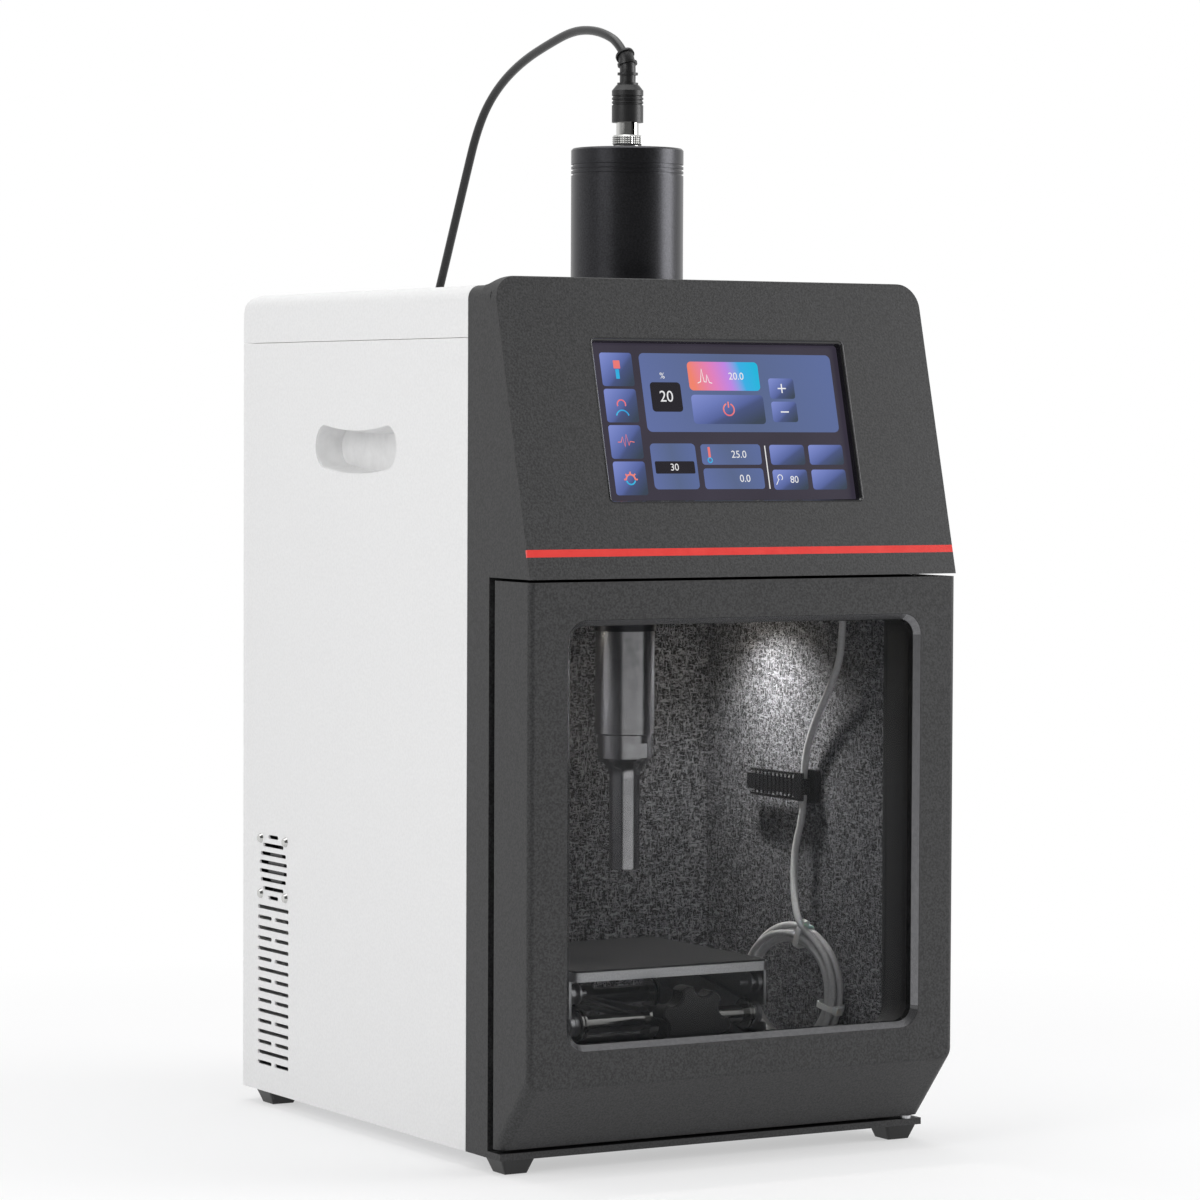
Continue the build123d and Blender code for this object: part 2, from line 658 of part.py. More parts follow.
with BuildPart() as chamber_liner:
    # Side pads over the whole height, then a back pad and a roof pad between them
    pad_half = CHAMBER_HALF_WIDTH - PANEL_GAP
    for side in (-1, 1):
        solid_box(
            sorted((side * CHAMBER_HALF_WIDTH, side * BOX_HALF)),
            (BOX_FRONT, BOX_BACK),
            (CHAMBER_FLOOR_Z, BOX_TOP_Z),
        )
    solid_box((-pad_half, pad_half), (CHAMBER_BACK, BOX_BACK), (CHAMBER_FLOOR_Z, BOX_TOP_Z))
    solid_box(
        (-pad_half, pad_half),
        (BOX_FRONT, CHAMBER_BACK - PANEL_GAP),
        (CHAMBER_TOP_Z, BOX_TOP_Z),
    )
    roof_holes(on_axis(CHAMBER_TOP_Z))
save(chamber_liner, "chamber_liner")

with BuildPart() as chamber_lamps:
    lens_drop = 2.0
    with BuildSketch(on_axis(CHAMBER_TOP_Z - lens_drop)):
        with Locations(LAMP_SPOTS):
            Circle(LAMP_RADIUS)
    extrude(amount=lens_drop + LINER + SHEET)
    lens_rims = chamber_lamps.edges().filter_by(GeomType.CIRCLE).group_by(Axis.Z)[0]
    fillet(lens_rims, radius=1.2)
save(chamber_lamps, "chamber_lamps")

# Transducer: housing, cap, sandwich of ceramics, horn and probe


TRANSDUCER_AXIS = Axis((0, AXIS_Y, 0), (0, 0, 1))
HOUSING_BOTTOM_Z = BOX_TOP_Z + SHEET + HOUSING_FLANGE
BORE_RADIUS = HOUSING_RADIUS - HOUSING_WALL
CAP_SPIGOT = 6.0
CAP_HOLLOW = 4.0
GROOVE_PITCH = 2.45
GROOVE_DEPTH = 0.9
GROOVE_HEIGHT = 1.2
GROOVE_COUNT = 3
FLANGE_BOLT_CIRCLE = 35.5
FLANGE_BOLTS = 4
FLANGE_HOLE_RADIUS = 2.2

with BuildPart() as transducer_housing:
    with BuildSketch(on_axis(HOUSING_BOTTOM_Z)):
        Circle(HOUSING_RADIUS)
        Circle(BORE_RADIUS, mode=Mode.SUBTRACT)
    extrude(amount=HOUSING_TOP_Z - HOUSING_BOTTOM_Z)
    with BuildSketch(on_axis(HOUSING_BOTTOM_Z)):
        Circle(HOUSING_FLANGE_RADIUS)
        Circle(BORE_RADIUS, mode=Mode.SUBTRACT)
        with PolarLocations(FLANGE_BOLT_CIRCLE, FLANGE_BOLTS, start_angle=45):
            Circle(FLANGE_HOLE_RADIUS, mode=Mode.SUBTRACT)
    extrude(amount=HOUSING_FLANGE)
    # Three turned grooves under the cap
    for groove in range(GROOVE_COUNT):
        with BuildSketch(on_axis(HOUSING_TOP_Z - groove * GROOVE_PITCH)):
            Circle(HOUSING_RADIUS)
            Circle(HOUSING_RADIUS - GROOVE_DEPTH, mode=Mode.SUBTRACT)
        extrude(amount=-GROOVE_HEIGHT, mode=Mode.SUBTRACT)
save(transducer_housing, "transducer_housing")

with BuildPart() as transducer_cap:
    with BuildSketch(on_axis(HOUSING_TOP_Z)):
        Circle(HOUSING_RADIUS)
    extrude(amount=CAP_TOP_Z - HOUSING_TOP_Z)
    cap_rim = transducer_cap.edges().group_by(Axis.Z)[-1]
    chamfer(cap_rim, length=1.0)
    with BuildSketch(on_axis(HOUSING_TOP_Z)):
        Circle(BORE_RADIUS - RUNNING_CLEARANCE)
    extrude(amount=-CAP_SPIGOT)
    with BuildSketch(on_axis(HOUSING_TOP_Z - CAP_SPIGOT)):
        Circle(BORE_RADIUS - HOUSING_WALL)
    extrude(amount=CAP_SPIGOT + CAP_HOLLOW, mode=Mode.SUBTRACT)
    with BuildSketch(on_axis(CAP_TOP_Z)):
        Circle(SHELL_RADIUS)
    extrude(amount=-(CAP_TOP_Z - HOUSING_TOP_Z), mode=Mode.SUBTRACT)
save(transducer_cap, "transducer_cap")

BOLT_HEAD = 8.0
BOLT_HEAD_RADIUS = 9.0
BOLT_DEPTH = 20.0
BOLT_ROOM = 2.0
BOLT_KEY_DEPTH = 5.0
HORN_SHOULDER = 1.5
BOLT_KEY_RADIUS = 5.0
ELECTRODE = 0.4
MASS_RIM = 18.0
NODE_FLANGE_DROP = 12.0
NODE_FLANGE = 4.0
BACK_MASS_Z = STACK_TOP_Z - BOLT_HEAD - BACK_MASS_HEIGHT
CERAMIC_Z = BACK_MASS_Z - CERAMIC * CERAMIC_COUNT
FRONT_MASS_Z = CERAMIC_Z - FRONT_MASS_HEIGHT
BOLT_RADIUS = 6.0
STACK_BORE = BOLT_RADIUS + 0.5

with BuildPart() as back_mass:
    with BuildSketch(on_axis(BACK_MASS_Z)):
        Circle(BACK_MASS_RADIUS)
        Circle(STACK_BORE, mode=Mode.SUBTRACT)
    extrude(amount=BACK_MASS_HEIGHT)
    chamfer(back_mass.edges().group_by(Axis.Z)[-1].sort_by(SortBy.LENGTH)[-1], length=2)
save(back_mass, "back_mass")

with BuildPart() as piezo_rings:
    for ring in range(CERAMIC_COUNT):
        with BuildSketch(on_axis(CERAMIC_Z + ring * CERAMIC)):
            Circle(CERAMIC_RADIUS)
            Circle(STACK_BORE + 2, mode=Mode.SUBTRACT)
        extrude(amount=CERAMIC - ELECTRODE)
save(piezo_rings, "piezo_rings")

with BuildPart() as front_mass:
    with BuildSketch(on_axis(FRONT_MASS_Z)):
        Circle(HORN_RADIUS + HORN_SHOULDER)
    with BuildSketch(on_axis(CERAMIC_Z - MASS_RIM)):
        Circle(CERAMIC_RADIUS)
    loft()
    with BuildSketch(on_axis(CERAMIC_Z - MASS_RIM)):
        Circle(CERAMIC_RADIUS)
    extrude(amount=MASS_RIM)
    # Thin flange at the nodal plane, held in the housing's bore
    with BuildSketch(on_axis(CERAMIC_Z - NODE_FLANGE_DROP)):
        Circle(BORE_RADIUS - RUNNING_CLEARANCE)
    extrude(amount=NODE_FLANGE)
    with BuildSketch(on_axis(CERAMIC_Z)):
        Circle(BOLT_RADIUS)
    extrude(amount=-BOLT_DEPTH - BOLT_ROOM, mode=Mode.SUBTRACT)
save(front_mass, "front_mass")

with BuildPart() as preload_bolt:
    bolt_head_z = STACK_TOP_Z - BOLT_HEAD
    with BuildSketch(on_axis(CERAMIC_Z - BOLT_DEPTH)):
        Circle(BOLT_RADIUS)
    extrude(amount=bolt_head_z - CERAMIC_Z + BOLT_DEPTH)
    with BuildSketch(on_axis(bolt_head_z)):
        Circle(BOLT_HEAD_RADIUS)
    extrude(amount=BOLT_HEAD)
    with BuildSketch(on_axis(STACK_TOP_Z)):
        RegularPolygon(BOLT_KEY_RADIUS, 6)
    extrude(amount=-BOLT_KEY_DEPTH, mode=Mode.SUBTRACT)
save(preload_bolt, "preload_bolt")

with BuildPart() as horn:
    with BuildSketch(on_axis(HORN_BOTTOM_Z)):
        Circle(HORN_RADIUS)
    extrude(amount=FRONT_MASS_Z - HORN_BOTTOM_Z)
    chamfer(horn.edges().group_by(Axis.Z)[0], length=0.6)
save(horn, "horn")

FILLET_TURN = 60.0
FLAT_INSET = 1.5
FLAT_BLOCK = 10.0
FLAT_HEIGHT = 8.0
FLAT_LIFT = 0.5

with BuildPart() as probe_tip:
    head_bottom = HORN_BOTTOM_Z - TIP_HEAD_HEIGHT
    fillet_start = (TIP_RADIUS, head_bottom - TIP_FILLET)
    fillet_end = (
        TIP_RADIUS + TIP_FILLET * (1 - cos(radians(FILLET_TURN))),
        head_bottom - TIP_FILLET * (1 - sin(radians(FILLET_TURN))),
    )
    with BuildSketch(Plane(origin=(0, AXIS_Y, 0), x_dir=(1, 0, 0), z_dir=(0, -1, 0))):
        with BuildLine():
            Polyline(
                fillet_start,
                (TIP_RADIUS, TIP_END_Z),
                (0, TIP_END_Z),
                (0, HORN_BOTTOM_Z),
                (TIP_HEAD_RADIUS, HORN_BOTTOM_Z),
                (TIP_HEAD_RADIUS, head_bottom),
            )
            JernArc(fillet_start, (0, 1), TIP_FILLET, -FILLET_TURN)
            Line(fillet_end, (TIP_HEAD_RADIUS, head_bottom))
        make_face()
    revolve(axis=TRANSDUCER_AXIS)
    # Two flats for a spanner on the probe's head
    flat_z = head_bottom + FLAT_LIFT + FLAT_HEIGHT / 2
    for side in (-1, 1):
        flat_y = AXIS_Y + side * (TIP_HEAD_RADIUS - FLAT_INSET + FLAT_BLOCK / 2)
        with Locations((0, flat_y, flat_z)):
            Box(2 * TIP_HEAD_RADIUS, FLAT_BLOCK, FLAT_HEIGHT, mode=Mode.SUBTRACT)
save(probe_tip, "probe_tip")

with BuildPart() as horn_collar:
    with BuildSketch(on_axis(COLLAR_BOTTOM_Z)):
        Circle(COLLAR_RADIUS)
        Circle(HORN_RADIUS + RUNNING_CLEARANCE, mode=Mode.SUBTRACT)
    extrude(amount=BOX_TOP_Z + SHEET - COLLAR_BOTTOM_Z)
    # Upper flange, clamped under the housing
    with BuildSketch(on_axis(BOX_TOP_Z + SHEET)):
        Circle(HOUSING_FLANGE_RADIUS)
        Circle(HORN_RADIUS + RUNNING_CLEARANCE, mode=Mode.SUBTRACT)
        with PolarLocations(FLANGE_BOLT_CIRCLE, FLANGE_BOLTS, start_angle=45):
            Circle(FLANGE_HOLE_RADIUS, mode=Mode.SUBTRACT)
    extrude(amount=HOUSING_FLANGE)
save(horn_collar, "horn_collar")

# Cable connectors: the same four pieces on the cap and on the rear panel

CAP_CONNECTOR = Plane(origin=(0, AXIS_Y, CAP_TOP_Z), x_dir=(1, 0, 0), z_dir=(0, 0, 1))
REAR_CONNECTOR = Plane(
    origin=(0, FRONT + DEPTH, REAR_SOCKET_Z), x_dir=(-1, 0, 0), z_dir=(0, 1, 0)
)
CONNECTORS = (CAP_CONNECTOR, REAR_CONNECTOR)
SHELL_BORE = SHELL_RADIUS - 1.1

with BuildPart() as cable_sockets:
    for base in CONNECTORS:
        with BuildSketch(base):
            Circle(SOCKET_FLANGE_RADIUS)
        extrude(amount=SOCKET_FLANGE)
        with BuildSketch(base):
            Circle(SHELL_RADIUS - RUNNING_CLEARANCE)
        extrude(amount=-SOCKET_TAIL)
save(cable_sockets, "cable_sockets")

with BuildPart() as plug_nuts:
    for base in CONNECTORS:
        with BuildSketch(base.offset(NUT_START)):
            Circle(NUT_RADIUS)
            Circle(SHELL_RADIUS, mode=Mode.SUBTRACT)
        extrude(amount=NUT_LENGTH)
    circles = plug_nuts.edges().filter_by(GeomType.CIRCLE)
    chamfer(circles.filter_by(lambda rim: abs(rim.radius - NUT_RADIUS) < 0.01), length=0.5)
save(plug_nuts, "plug_nuts")

with BuildPart() as plug_shells:
    for base in CONNECTORS:
        with BuildSketch(base.offset(NUT_START)):
            Circle(SHELL_RADIUS)
            Circle(SHELL_BORE, mode=Mode.SUBTRACT)
        extrude(amount=NUT_LENGTH + SHELL_LENGTH)
        # Keyway on the side that faces the front or the floor
        with BuildSketch(base.offset(SHELL_START)):
            with Locations((0, -SHELL_RADIUS)):
                Rectangle(2.2, 3)
        extrude(amount=SHELL_LENGTH, mode=Mode.SUBTRACT)
save(plug_shells, "plug_shells")

FIN_COUNT = 4
FIN = 1.3


def boot_profile():
    """Half section of the boot, with its shoulder and three ridges."""
    shoulder = 3.0
    ridge_start = 9.4
    ridge_pitch = 2.1
    points = [(0, 0), (BOOT_RADIUS, 0), (BOOT_RADIUS, ridge_start)]
    for ridge in range(3):
        start = ridge_start + ridge * ridge_pitch
        points += [(BOOT_RADIUS - 0.6, start + 0.3), (BOOT_RADIUS - 0.6, start + 0.8)]
        points += [(BOOT_RADIUS, start + 1.1), (BOOT_RADIUS, start + ridge_pitch)]
    points += [(BOOT_RADIUS, BOOT_LENGTH - shoulder), (BOOT_RADIUS - 2.4, BOOT_LENGTH)]
    points += [(0, BOOT_LENGTH)]
    return points


def relief_spot(base, along, bend):
    """Plane on the relief's centre line, which is straight and then bends back."""
    if along <= RELIEF_STRAIGHT or not bend:
        return base.offset(RELIEF_START + along)
    angle = (along - RELIEF_STRAIGHT) / RELIEF_BEND_RADIUS
    start = base.offset(RELIEF_START + RELIEF_STRAIGHT)
    towards_back = Vector(0, 1, 0)
    up = Vector(0, 0, 1)
    centre = (
        start.origin
        + towards_back * (RELIEF_BEND_RADIUS * (1 - cos(angle)))
        + up * (RELIEF_BEND_RADIUS * sin(angle))
    )
    return Plane(
        origin=centre, x_dir=(1, 0, 0), z_dir=towards_back * sin(angle) + up * cos(angle)
    )


with BuildPart() as plug_boots:
    for base, bend in ((CAP_CONNECTOR, True), (REAR_CONNECTOR, False)):
        boot_base = base.offset(BOOT_START)
        section = Plane(
            origin=boot_base.origin,
            x_dir=boot_base.x_dir,
            z_dir=boot_base.x_dir.cross(boot_base.z_dir),
        )
        with BuildSketch(section):
            Polygon(*boot_profile(), align=None)
        revolve(axis=Axis(boot_base.origin, boot_base.z_dir))
        # Core of the relief
        with BuildSketch(base.offset(RELIEF_START)):
            Circle(NECK_RADIUS)
        extrude(amount=RELIEF_STRAIGHT)
        if bend:
            bend_axis = Axis(
                relief_spot(base, RELIEF_STRAIGHT, True).origin + Vector(0, RELIEF_BEND_RADIUS, 0),
                (1, 0, 0),
            )
            with BuildSketch(relief_spot(base, RELIEF_STRAIGHT, True)):
                Circle(NECK_RADIUS)
            revolve(axis=bend_axis, revolution_arc=-RELIEF_BEND)
        else:
            with BuildSketch(base.offset(RELIEF_START + RELIEF_STRAIGHT)):
                Circle(NECK_RADIUS)
            extrude(amount=RELIEF_LENGTH - RELIEF_STRAIGHT)
        for fin in range(FIN_COUNT):
            along = FIN + fin * (RELIEF_LENGTH - FIN) / (FIN_COUNT - 1)
            with BuildSketch(relief_spot(base, along, bend)):
                Circle(FIN_RADIUS - 0.15 * fin)
            extrude(amount=-FIN)
save(plug_boots, "plug_boots")

# Free cords: straight runs joined by arcs that are as large as the runs allow


def corner_radii(points):
    """Radius at each corner: 0.45 of the shorter run, over the tangent of half the turn."""
    radii = []
    for before, here, after in zip(points, points[1:], points[2:]):
        arriving = Vector(*here) - Vector(*before)
        leaving = Vector(*after) - Vector(*here)
        turn = radians(arriving.get_angle(leaving))
        radii.append(0.45 * min(arriving.length, leaving.length) / tan(turn / 2))
    return radii


def cord(points, radius, name):
    """Tube along a route, with a report of its bends and its volume."""
    radii = corner_radii(points)
    with BuildPart() as tube:
        with BuildLine() as route:
            FilletPolyline(*points, radius=radii)
        path = route.wires()[0]
        with BuildSketch(Plane(origin=path @ 0, z_dir=path % 0)):
            Circle(radius)
        sweep(path=path)
    ideal = pi * radius**2 * path.length
    print(
        f"{name}: {path.length:.0f} mm long, tightest bend {min(radii):.1f} mm,"
        f" volume {tube.part.volume / ideal:.4f} of section times length"
    )
    return tube


def at(x, depth, z):
    """Point from x, depth behind the door and height."""
    return (x, FRONT + depth, z)


relief_end = relief_spot(CAP_CONNECTOR, RELIEF_LENGTH, True)
first_run = relief_end.origin + relief_end.z_dir * 10
REAR_EXIT = DEPTH + PLUG_LENGTH
CABLE_ROUTE = [
    tuple(relief_end.origin),
    tuple(first_run),
    at(0, 151.2, 608.9),
    at(0, 168.5, 613.0),
    at(0, 190.5, 613.8),
    at(0, 216.0, 608.8),
    at(0, 246.5, 601.2),
    at(0, 272.0, 590.6),
    at(0, 291.5, 577.0),
    at(0, 304.5, 560.5),
    at(0, 313.7, 542.6),
    at(0, 329.9, 510.4),
    at(0, 347.4, 475.3),
    at(0, REAR_EXIT - 13.5, REAR_SOCKET_Z + 167.0),
    at(0, REAR_EXIT + 8.0, REAR_SOCKET_Z + 121.9),
    at(0, REAR_EXIT + 25.9, REAR_SOCKET_Z + 81.7),
    at(0, REAR_EXIT + 36.2, REAR_SOCKET_Z + 53.5),
    at(0, REAR_EXIT + 39.7, REAR_SOCKET_Z + 33.8),
    at(0, REAR_EXIT + 35.3, REAR_SOCKET_Z + 17.4),
    at(0, REAR_EXIT + 25.7, REAR_SOCKET_Z + 5.9),
    at(0, REAR_EXIT + 13.0, REAR_SOCKET_Z),
    at(0, REAR_EXIT, REAR_SOCKET_Z),
]
transducer_cable = cord(CABLE_ROUTE, CABLE_RADIUS, "transducer cable")
save(transducer_cable, "transducer_cable")

# Sensor lead: down the right-hand wall, through a clip, into a tied coil

GROMMET_DROP = 3.0
CLIP_Z = 189.0
CLIP_X = 111.5
CLIP_DEPTH = 119.0
COIL_Z = CHAMBER_FLOOR_Z + COIL_OUTER_RADIUS
COIL_PLANE_X = Vector(-sin(radians(COIL_TURN)), cos(radians(COIL_TURN)), 0)
COIL_AXIS = Vector(cos(radians(COIL_TURN)), sin(radians(COIL_TURN)), 0)
COIL_CENTRE = Vector(COIL_X, FRONT + COIL_DEPTH, COIL_Z)
COIL_RADIAL = COIL_OUTER_RADIUS - COIL_INNER_RADIUS
COIL_MIDDLE_RADIUS = (COIL_OUTER_RADIUS + COIL_INNER_RADIUS) / 2

with BuildPart() as ceiling_grommet:
    grommet_axis = (GROMMET_X, FRONT + GROMMET_DEPTH)
    with BuildSketch(Plane.XY.offset(CHAMBER_TOP_Z)):
        with Locations(grommet_axis):
            Circle(GROMMET_RADIUS)
            Circle(LEAD_RADIUS, mode=Mode.SUBTRACT)
    extrude(amount=LINER + SHEET)
    with BuildSketch(Plane.XY.offset(CHAMBER_TOP_Z)):
        with Locations(grommet_axis):
            Circle(GROMMET_RADIUS + 1.5)
            Circle(LEAD_RADIUS, mode=Mode.SUBTRACT)
    extrude(amount=-GROMMET_DROP)
save(ceiling_grommet, "ceiling_grommet")

LEAD_ROUTE = [
    at(GROMMET_X, GROMMET_DEPTH, CHAMBER_TOP_Z),
    at(GROMMET_X, GROMMET_DEPTH, 266.5),
    at(107.2, 85.0, 247.5),
    at(109.6, 105.5, 226.0),
    at(CLIP_X, CLIP_DEPTH, 204.0),
    at(CLIP_X, CLIP_DEPTH, 173.5),
    at(109.0, 124.0, 155.0),
    at(106.0, 120.5, 136.0),
    at(102.5, 113.5, 124.0),
    at(102.5, 113.5, COIL_Z + COIL_OUTER_RADIUS),
]
sensor_cable = cord(LEAD_ROUTE, LEAD_RADIUS, "sensor lead")
save(sensor_cable, "sensor_cable")

with BuildPart() as sensor_coil:
    coil_section = Plane(origin=COIL_CENTRE, x_dir=COIL_AXIS, z_dir=COIL_PLANE_X * -1)
    with BuildSketch(coil_section):
        with Locations((0, COIL_MIDDLE_RADIUS)):
            RectangleRounded(COIL_WIDTH, COIL_RADIAL, LEAD_RADIUS)
    revolve(axis=Axis(COIL_CENTRE, COIL_AXIS))
save(sensor_coil, "sensor_coil")

TIE_ANGLES = (72.0, -14.0, 200.0)


def around_coil(angle, radius):
    """Plane across the coil's bundle at an angle up from the coil's front side."""
    turn = radians(angle)
    outward = COIL_PLANE_X * -cos(turn) + Vector(0, 0, 1) * sin(turn)
    return Plane(
        origin=COIL_CENTRE + outward * radius, x_dir=COIL_AXIS, z_dir=COIL_AXIS.cross(outward)
    )


with BuildPart() as cable_ties:
    tie_hole_width = COIL_WIDTH + 2 * RUNNING_CLEARANCE
    tie_hole_radial = COIL_RADIAL + 4 * RUNNING_CLEARANCE
    for angle in TIE_ANGLES:
        band = around_coil(angle, COIL_MIDDLE_RADIUS)
        with BuildSketch(band):
            RectangleRounded(
                tie_hole_width + 2 * TIE_WALL,
                tie_hole_radial + 2 * TIE_WALL,
                LEAD_RADIUS + TIE_WALL,
            )
            RectangleRounded(tie_hole_width, tie_hole_radial, LEAD_RADIUS, mode=Mode.SUBTRACT)
        extrude(amount=TIE_WIDTH / 2, both=True)
        # Locking head on the outside of the band
        head_radius = COIL_OUTER_RADIUS + TIE_WALL + TIE_HEAD_RISE
        with BuildSketch(around_coil(angle, head_radius)):
            with Locations((-COIL_WIDTH / 4, 0)):
                Rectangle(TIE_HEAD_LENGTH, TIE_HEAD_HEIGHT)
        extrude(amount=TIE_HEAD_WIDTH / 2, both=True)
save(cable_ties, "cable_ties")

with BuildPart() as sensor_probe:
    beside = COIL_AXIS * (COIL_WIDTH / 2 + PROBE_RADIUS) + COIL_PLANE_X * 6
    probe_start = COIL_CENTRE + beside - Vector(0, 0, COIL_OUTER_RADIUS - PROBE_RADIUS)
    with BuildSketch(Plane(origin=probe_start, x_dir=COIL_AXIS, z_dir=COIL_PLANE_X)):
        Circle(PROBE_RADIUS)
    extrude(amount=PROBE_LENGTH)
    fillet(sensor_probe.edges().sort_by(Axis.Y)[-1], radius=PROBE_RADIUS * 0.9)
save(sensor_probe, "sensor_probe")

CLIP_PAD = 3.0
CLIP_PAD_HALF = 9.5
CLIP_PAD_CORNER = 2.5
CLIP_BAND = 2.0
CLIP_HEIGHT = 9.0
FLAG_LENGTH = 52.0

with BuildPart() as wall_clip:
    # Pad stuck to the felt, with a post that carries the strap
    pad_x = (CHAMBER_HALF_WIDTH - CLIP_PAD, CHAMBER_HALF_WIDTH)
    pad_depth = (CLIP_DEPTH - CLIP_PAD_HALF, CLIP_DEPTH + CLIP_PAD_HALF)
    solid_box(pad_x, pad_depth, (CLIP_Z - CLIP_PAD_HALF, CLIP_Z + CLIP_PAD_HALF))
    fillet(wall_clip.edges().filter_by(Axis.X), radius=CLIP_PAD_CORNER)
    # Strap round the lead
    strap_axis = (CLIP_X, FRONT + CLIP_DEPTH)
    post_reach = CHAMBER_HALF_WIDTH - CLIP_X - CLIP_PAD
    with BuildSketch(Plane.XY.offset(CLIP_Z - CLIP_HEIGHT / 2)):
        with Locations(strap_axis):
            Circle(LEAD_RADIUS + CLIP_BAND)
        with Locations((CLIP_X + post_reach / 2, FRONT + CLIP_DEPTH)):
            Rectangle(post_reach, 2 * LEAD_RADIUS)
        with Locations(strap_axis):
            Circle(LEAD_RADIUS, mode=Mode.SUBTRACT)
    extrude(amount=CLIP_HEIGHT)
    # Loose end of the strap, lying back along the wall
    flag_x = (CLIP_X - LEAD_RADIUS - CLIP_BAND, CLIP_X - LEAD_RADIUS)
    flag_depth = (CLIP_DEPTH + LEAD_RADIUS, CLIP_DEPTH + LEAD_RADIUS + FLAG_LENGTH)
    solid_box(flag_x, flag_depth, (CLIP_Z - CLIP_HEIGHT / 2, CLIP_Z + CLIP_HEIGHT / 2))
save(wall_clip, "wall_clip")

# Fans behind the two round grilles

FAN_PANEL_X = HALF_WIDTH - SHEET
HUB_RADIUS = 10.5
BLADE_COUNT = 7
BLADE_RADIUS = 17.8
BLADE_CHORD = 9.0
BLADE_THICK = 1.0
BLADE_PITCH = 34.0
FAN_CORNER_RADIUS = 3.0
FAN_PIN_RADIUS = 1.5
FAN_PIN_LENGTH = 6.0
STRUT = 2.2
STRUT_THICK = 1.5
HUB_HEIGHT = 7.2
HUB_FLOAT = 2.0


def fan_plane(side, inward):
    """Plane across a fan's axis, at a distance in from the side panel's inner face."""
    return Plane(
        origin=(side * (FAN_PANEL_X - inward), FRONT + FAN_DEPTH_FROM_FRONT, FAN_Z),
        x_dir=(0, side, 0),
        z_dir=(side, 0, 0),
    )


with BuildPart() as fan_frames:
    for side in (-1, 1):
        with BuildSketch(fan_plane(side, 0)):
            RectangleRounded(FAN_SIZE, FAN_SIZE, FAN_CORNER_RADIUS)
            Circle(FAN_BORE_RADIUS, mode=Mode.SUBTRACT)
            with GridLocations(FAN_SCREW_PITCH, FAN_SCREW_PITCH, 2, 2):
                Circle(SCREW_HEAD_RADIUS / 2, mode=Mode.SUBTRACT)
        extrude(amount=-FAN_THICK)
        # Motor seat on three struts, on the inner side
        with BuildSketch(fan_plane(side, FAN_THICK)):
            Circle(HUB_RADIUS)
            with PolarLocations(0, 3, start_angle=30):
                with Locations((FAN_BORE_RADIUS / 2 + 1, 0)):
                    Rectangle(FAN_BORE_RADIUS + 1, STRUT)
        extrude(amount=STRUT_THICK)
        with BuildSketch(fan_plane(side, FAN_THICK - STRUT_THICK)):
            Circle(FAN_PIN_RADIUS)
        extrude(amount=FAN_PIN_LENGTH)
save(fan_frames, "fan_frames")


def fan_rotor(side):
    """Hub and swept blades, turning on the frame's pin."""
    with BuildPart() as rotor:
        with BuildSketch(fan_plane(side, FAN_THICK - HUB_FLOAT)):
            Circle(HUB_RADIUS)
        extrude(amount=HUB_HEIGHT)
        with BuildSketch(fan_plane(side, FAN_THICK - HUB_FLOAT)):
            Circle(FAN_PIN_RADIUS + RUNNING_CLEARANCE)
        extrude(amount=FAN_PIN_LENGTH, mode=Mode.SUBTRACT)
        for blade in range(BLADE_COUNT):
            turn = Rotation(0, 0, blade * 360 / BLADE_COUNT)
            twist = Rotation(BLADE_PITCH * side, 0, 0)
            with BuildSketch(fan_plane(side, FAN_THICK / 2) * turn * twist):
                with Locations(((HUB_RADIUS + BLADE_RADIUS) / 2 - 0.5, 0)):
                    Rectangle(BLADE_RADIUS - HUB_RADIUS + 1, BLADE_CHORD)
            extrude(amount=BLADE_THICK / 2, both=True)
        with BuildSketch(fan_plane(side, FAN_THICK - HUB_FLOAT)):
            Circle(BLADE_RADIUS)
        extrude(amount=HUB_HEIGHT, mode=Mode.INTERSECT)
    return rotor


fan_rotor_left = fan_rotor(-1)
save(fan_rotor_left, "fan_rotor_left")
fan_rotor_right = fan_rotor(1)
save(fan_rotor_right, "fan_rotor_right")

SCREW_HEAD = 1.6
SCREW_DRAFT = 25.0

with BuildPart() as panel_screws:
    for side in (-1, 1):
        head_plane = fan_plane(side, -SHEET)
        with BuildSketch(head_plane):
            with GridLocations(FAN_SCREW_PITCH, FAN_SCREW_PITCH, 2, 2):
                Circle(SCREW_HEAD_RADIUS)
        extrude(amount=SCREW_HEAD, taper=SCREW_DRAFT)
        with BuildSketch(head_plane):
            with GridLocations(FAN_SCREW_PITCH, FAN_SCREW_PITCH, 2, 2):
                Circle(SCREW_HEAD_RADIUS / 2 - RUNNING_CLEARANCE)
        extrude(amount=-SHEET - FAN_THICK + 2)
save(panel_screws, "panel_screws")

# Power inlet with a rocker switch, on the rear panel

SOCKET_DOWN = 9.0
SOCKET_WIDTH = 23.0
SOCKET_HEIGHT = 16.0
SOCKET_ANGLE = 60.0
SOCKET_DEPTH = 17.0
SOCKET_PINS = ((-7, -9.5), (7, -9.5), (0, -5.5))
PIN_WIDTH = 2.0
PIN_HEIGHT = 4.0
PIN_LENGTH = 14.0
ROCKER_WELL_DEPTH = 9.0
ROCKER_DISH = 1.8
ROCKER_FOOT = ROCKER_HALF - 1.2
ROCKER_FOOT_DROP = 0.8
ROCKER_BELLY = 2.6
ROCKER_AXIS = (INLET_X, FRONT + DEPTH - ROCKER_SEAT + INLET_PROUD, INLET_Z + ROCKER_UP)

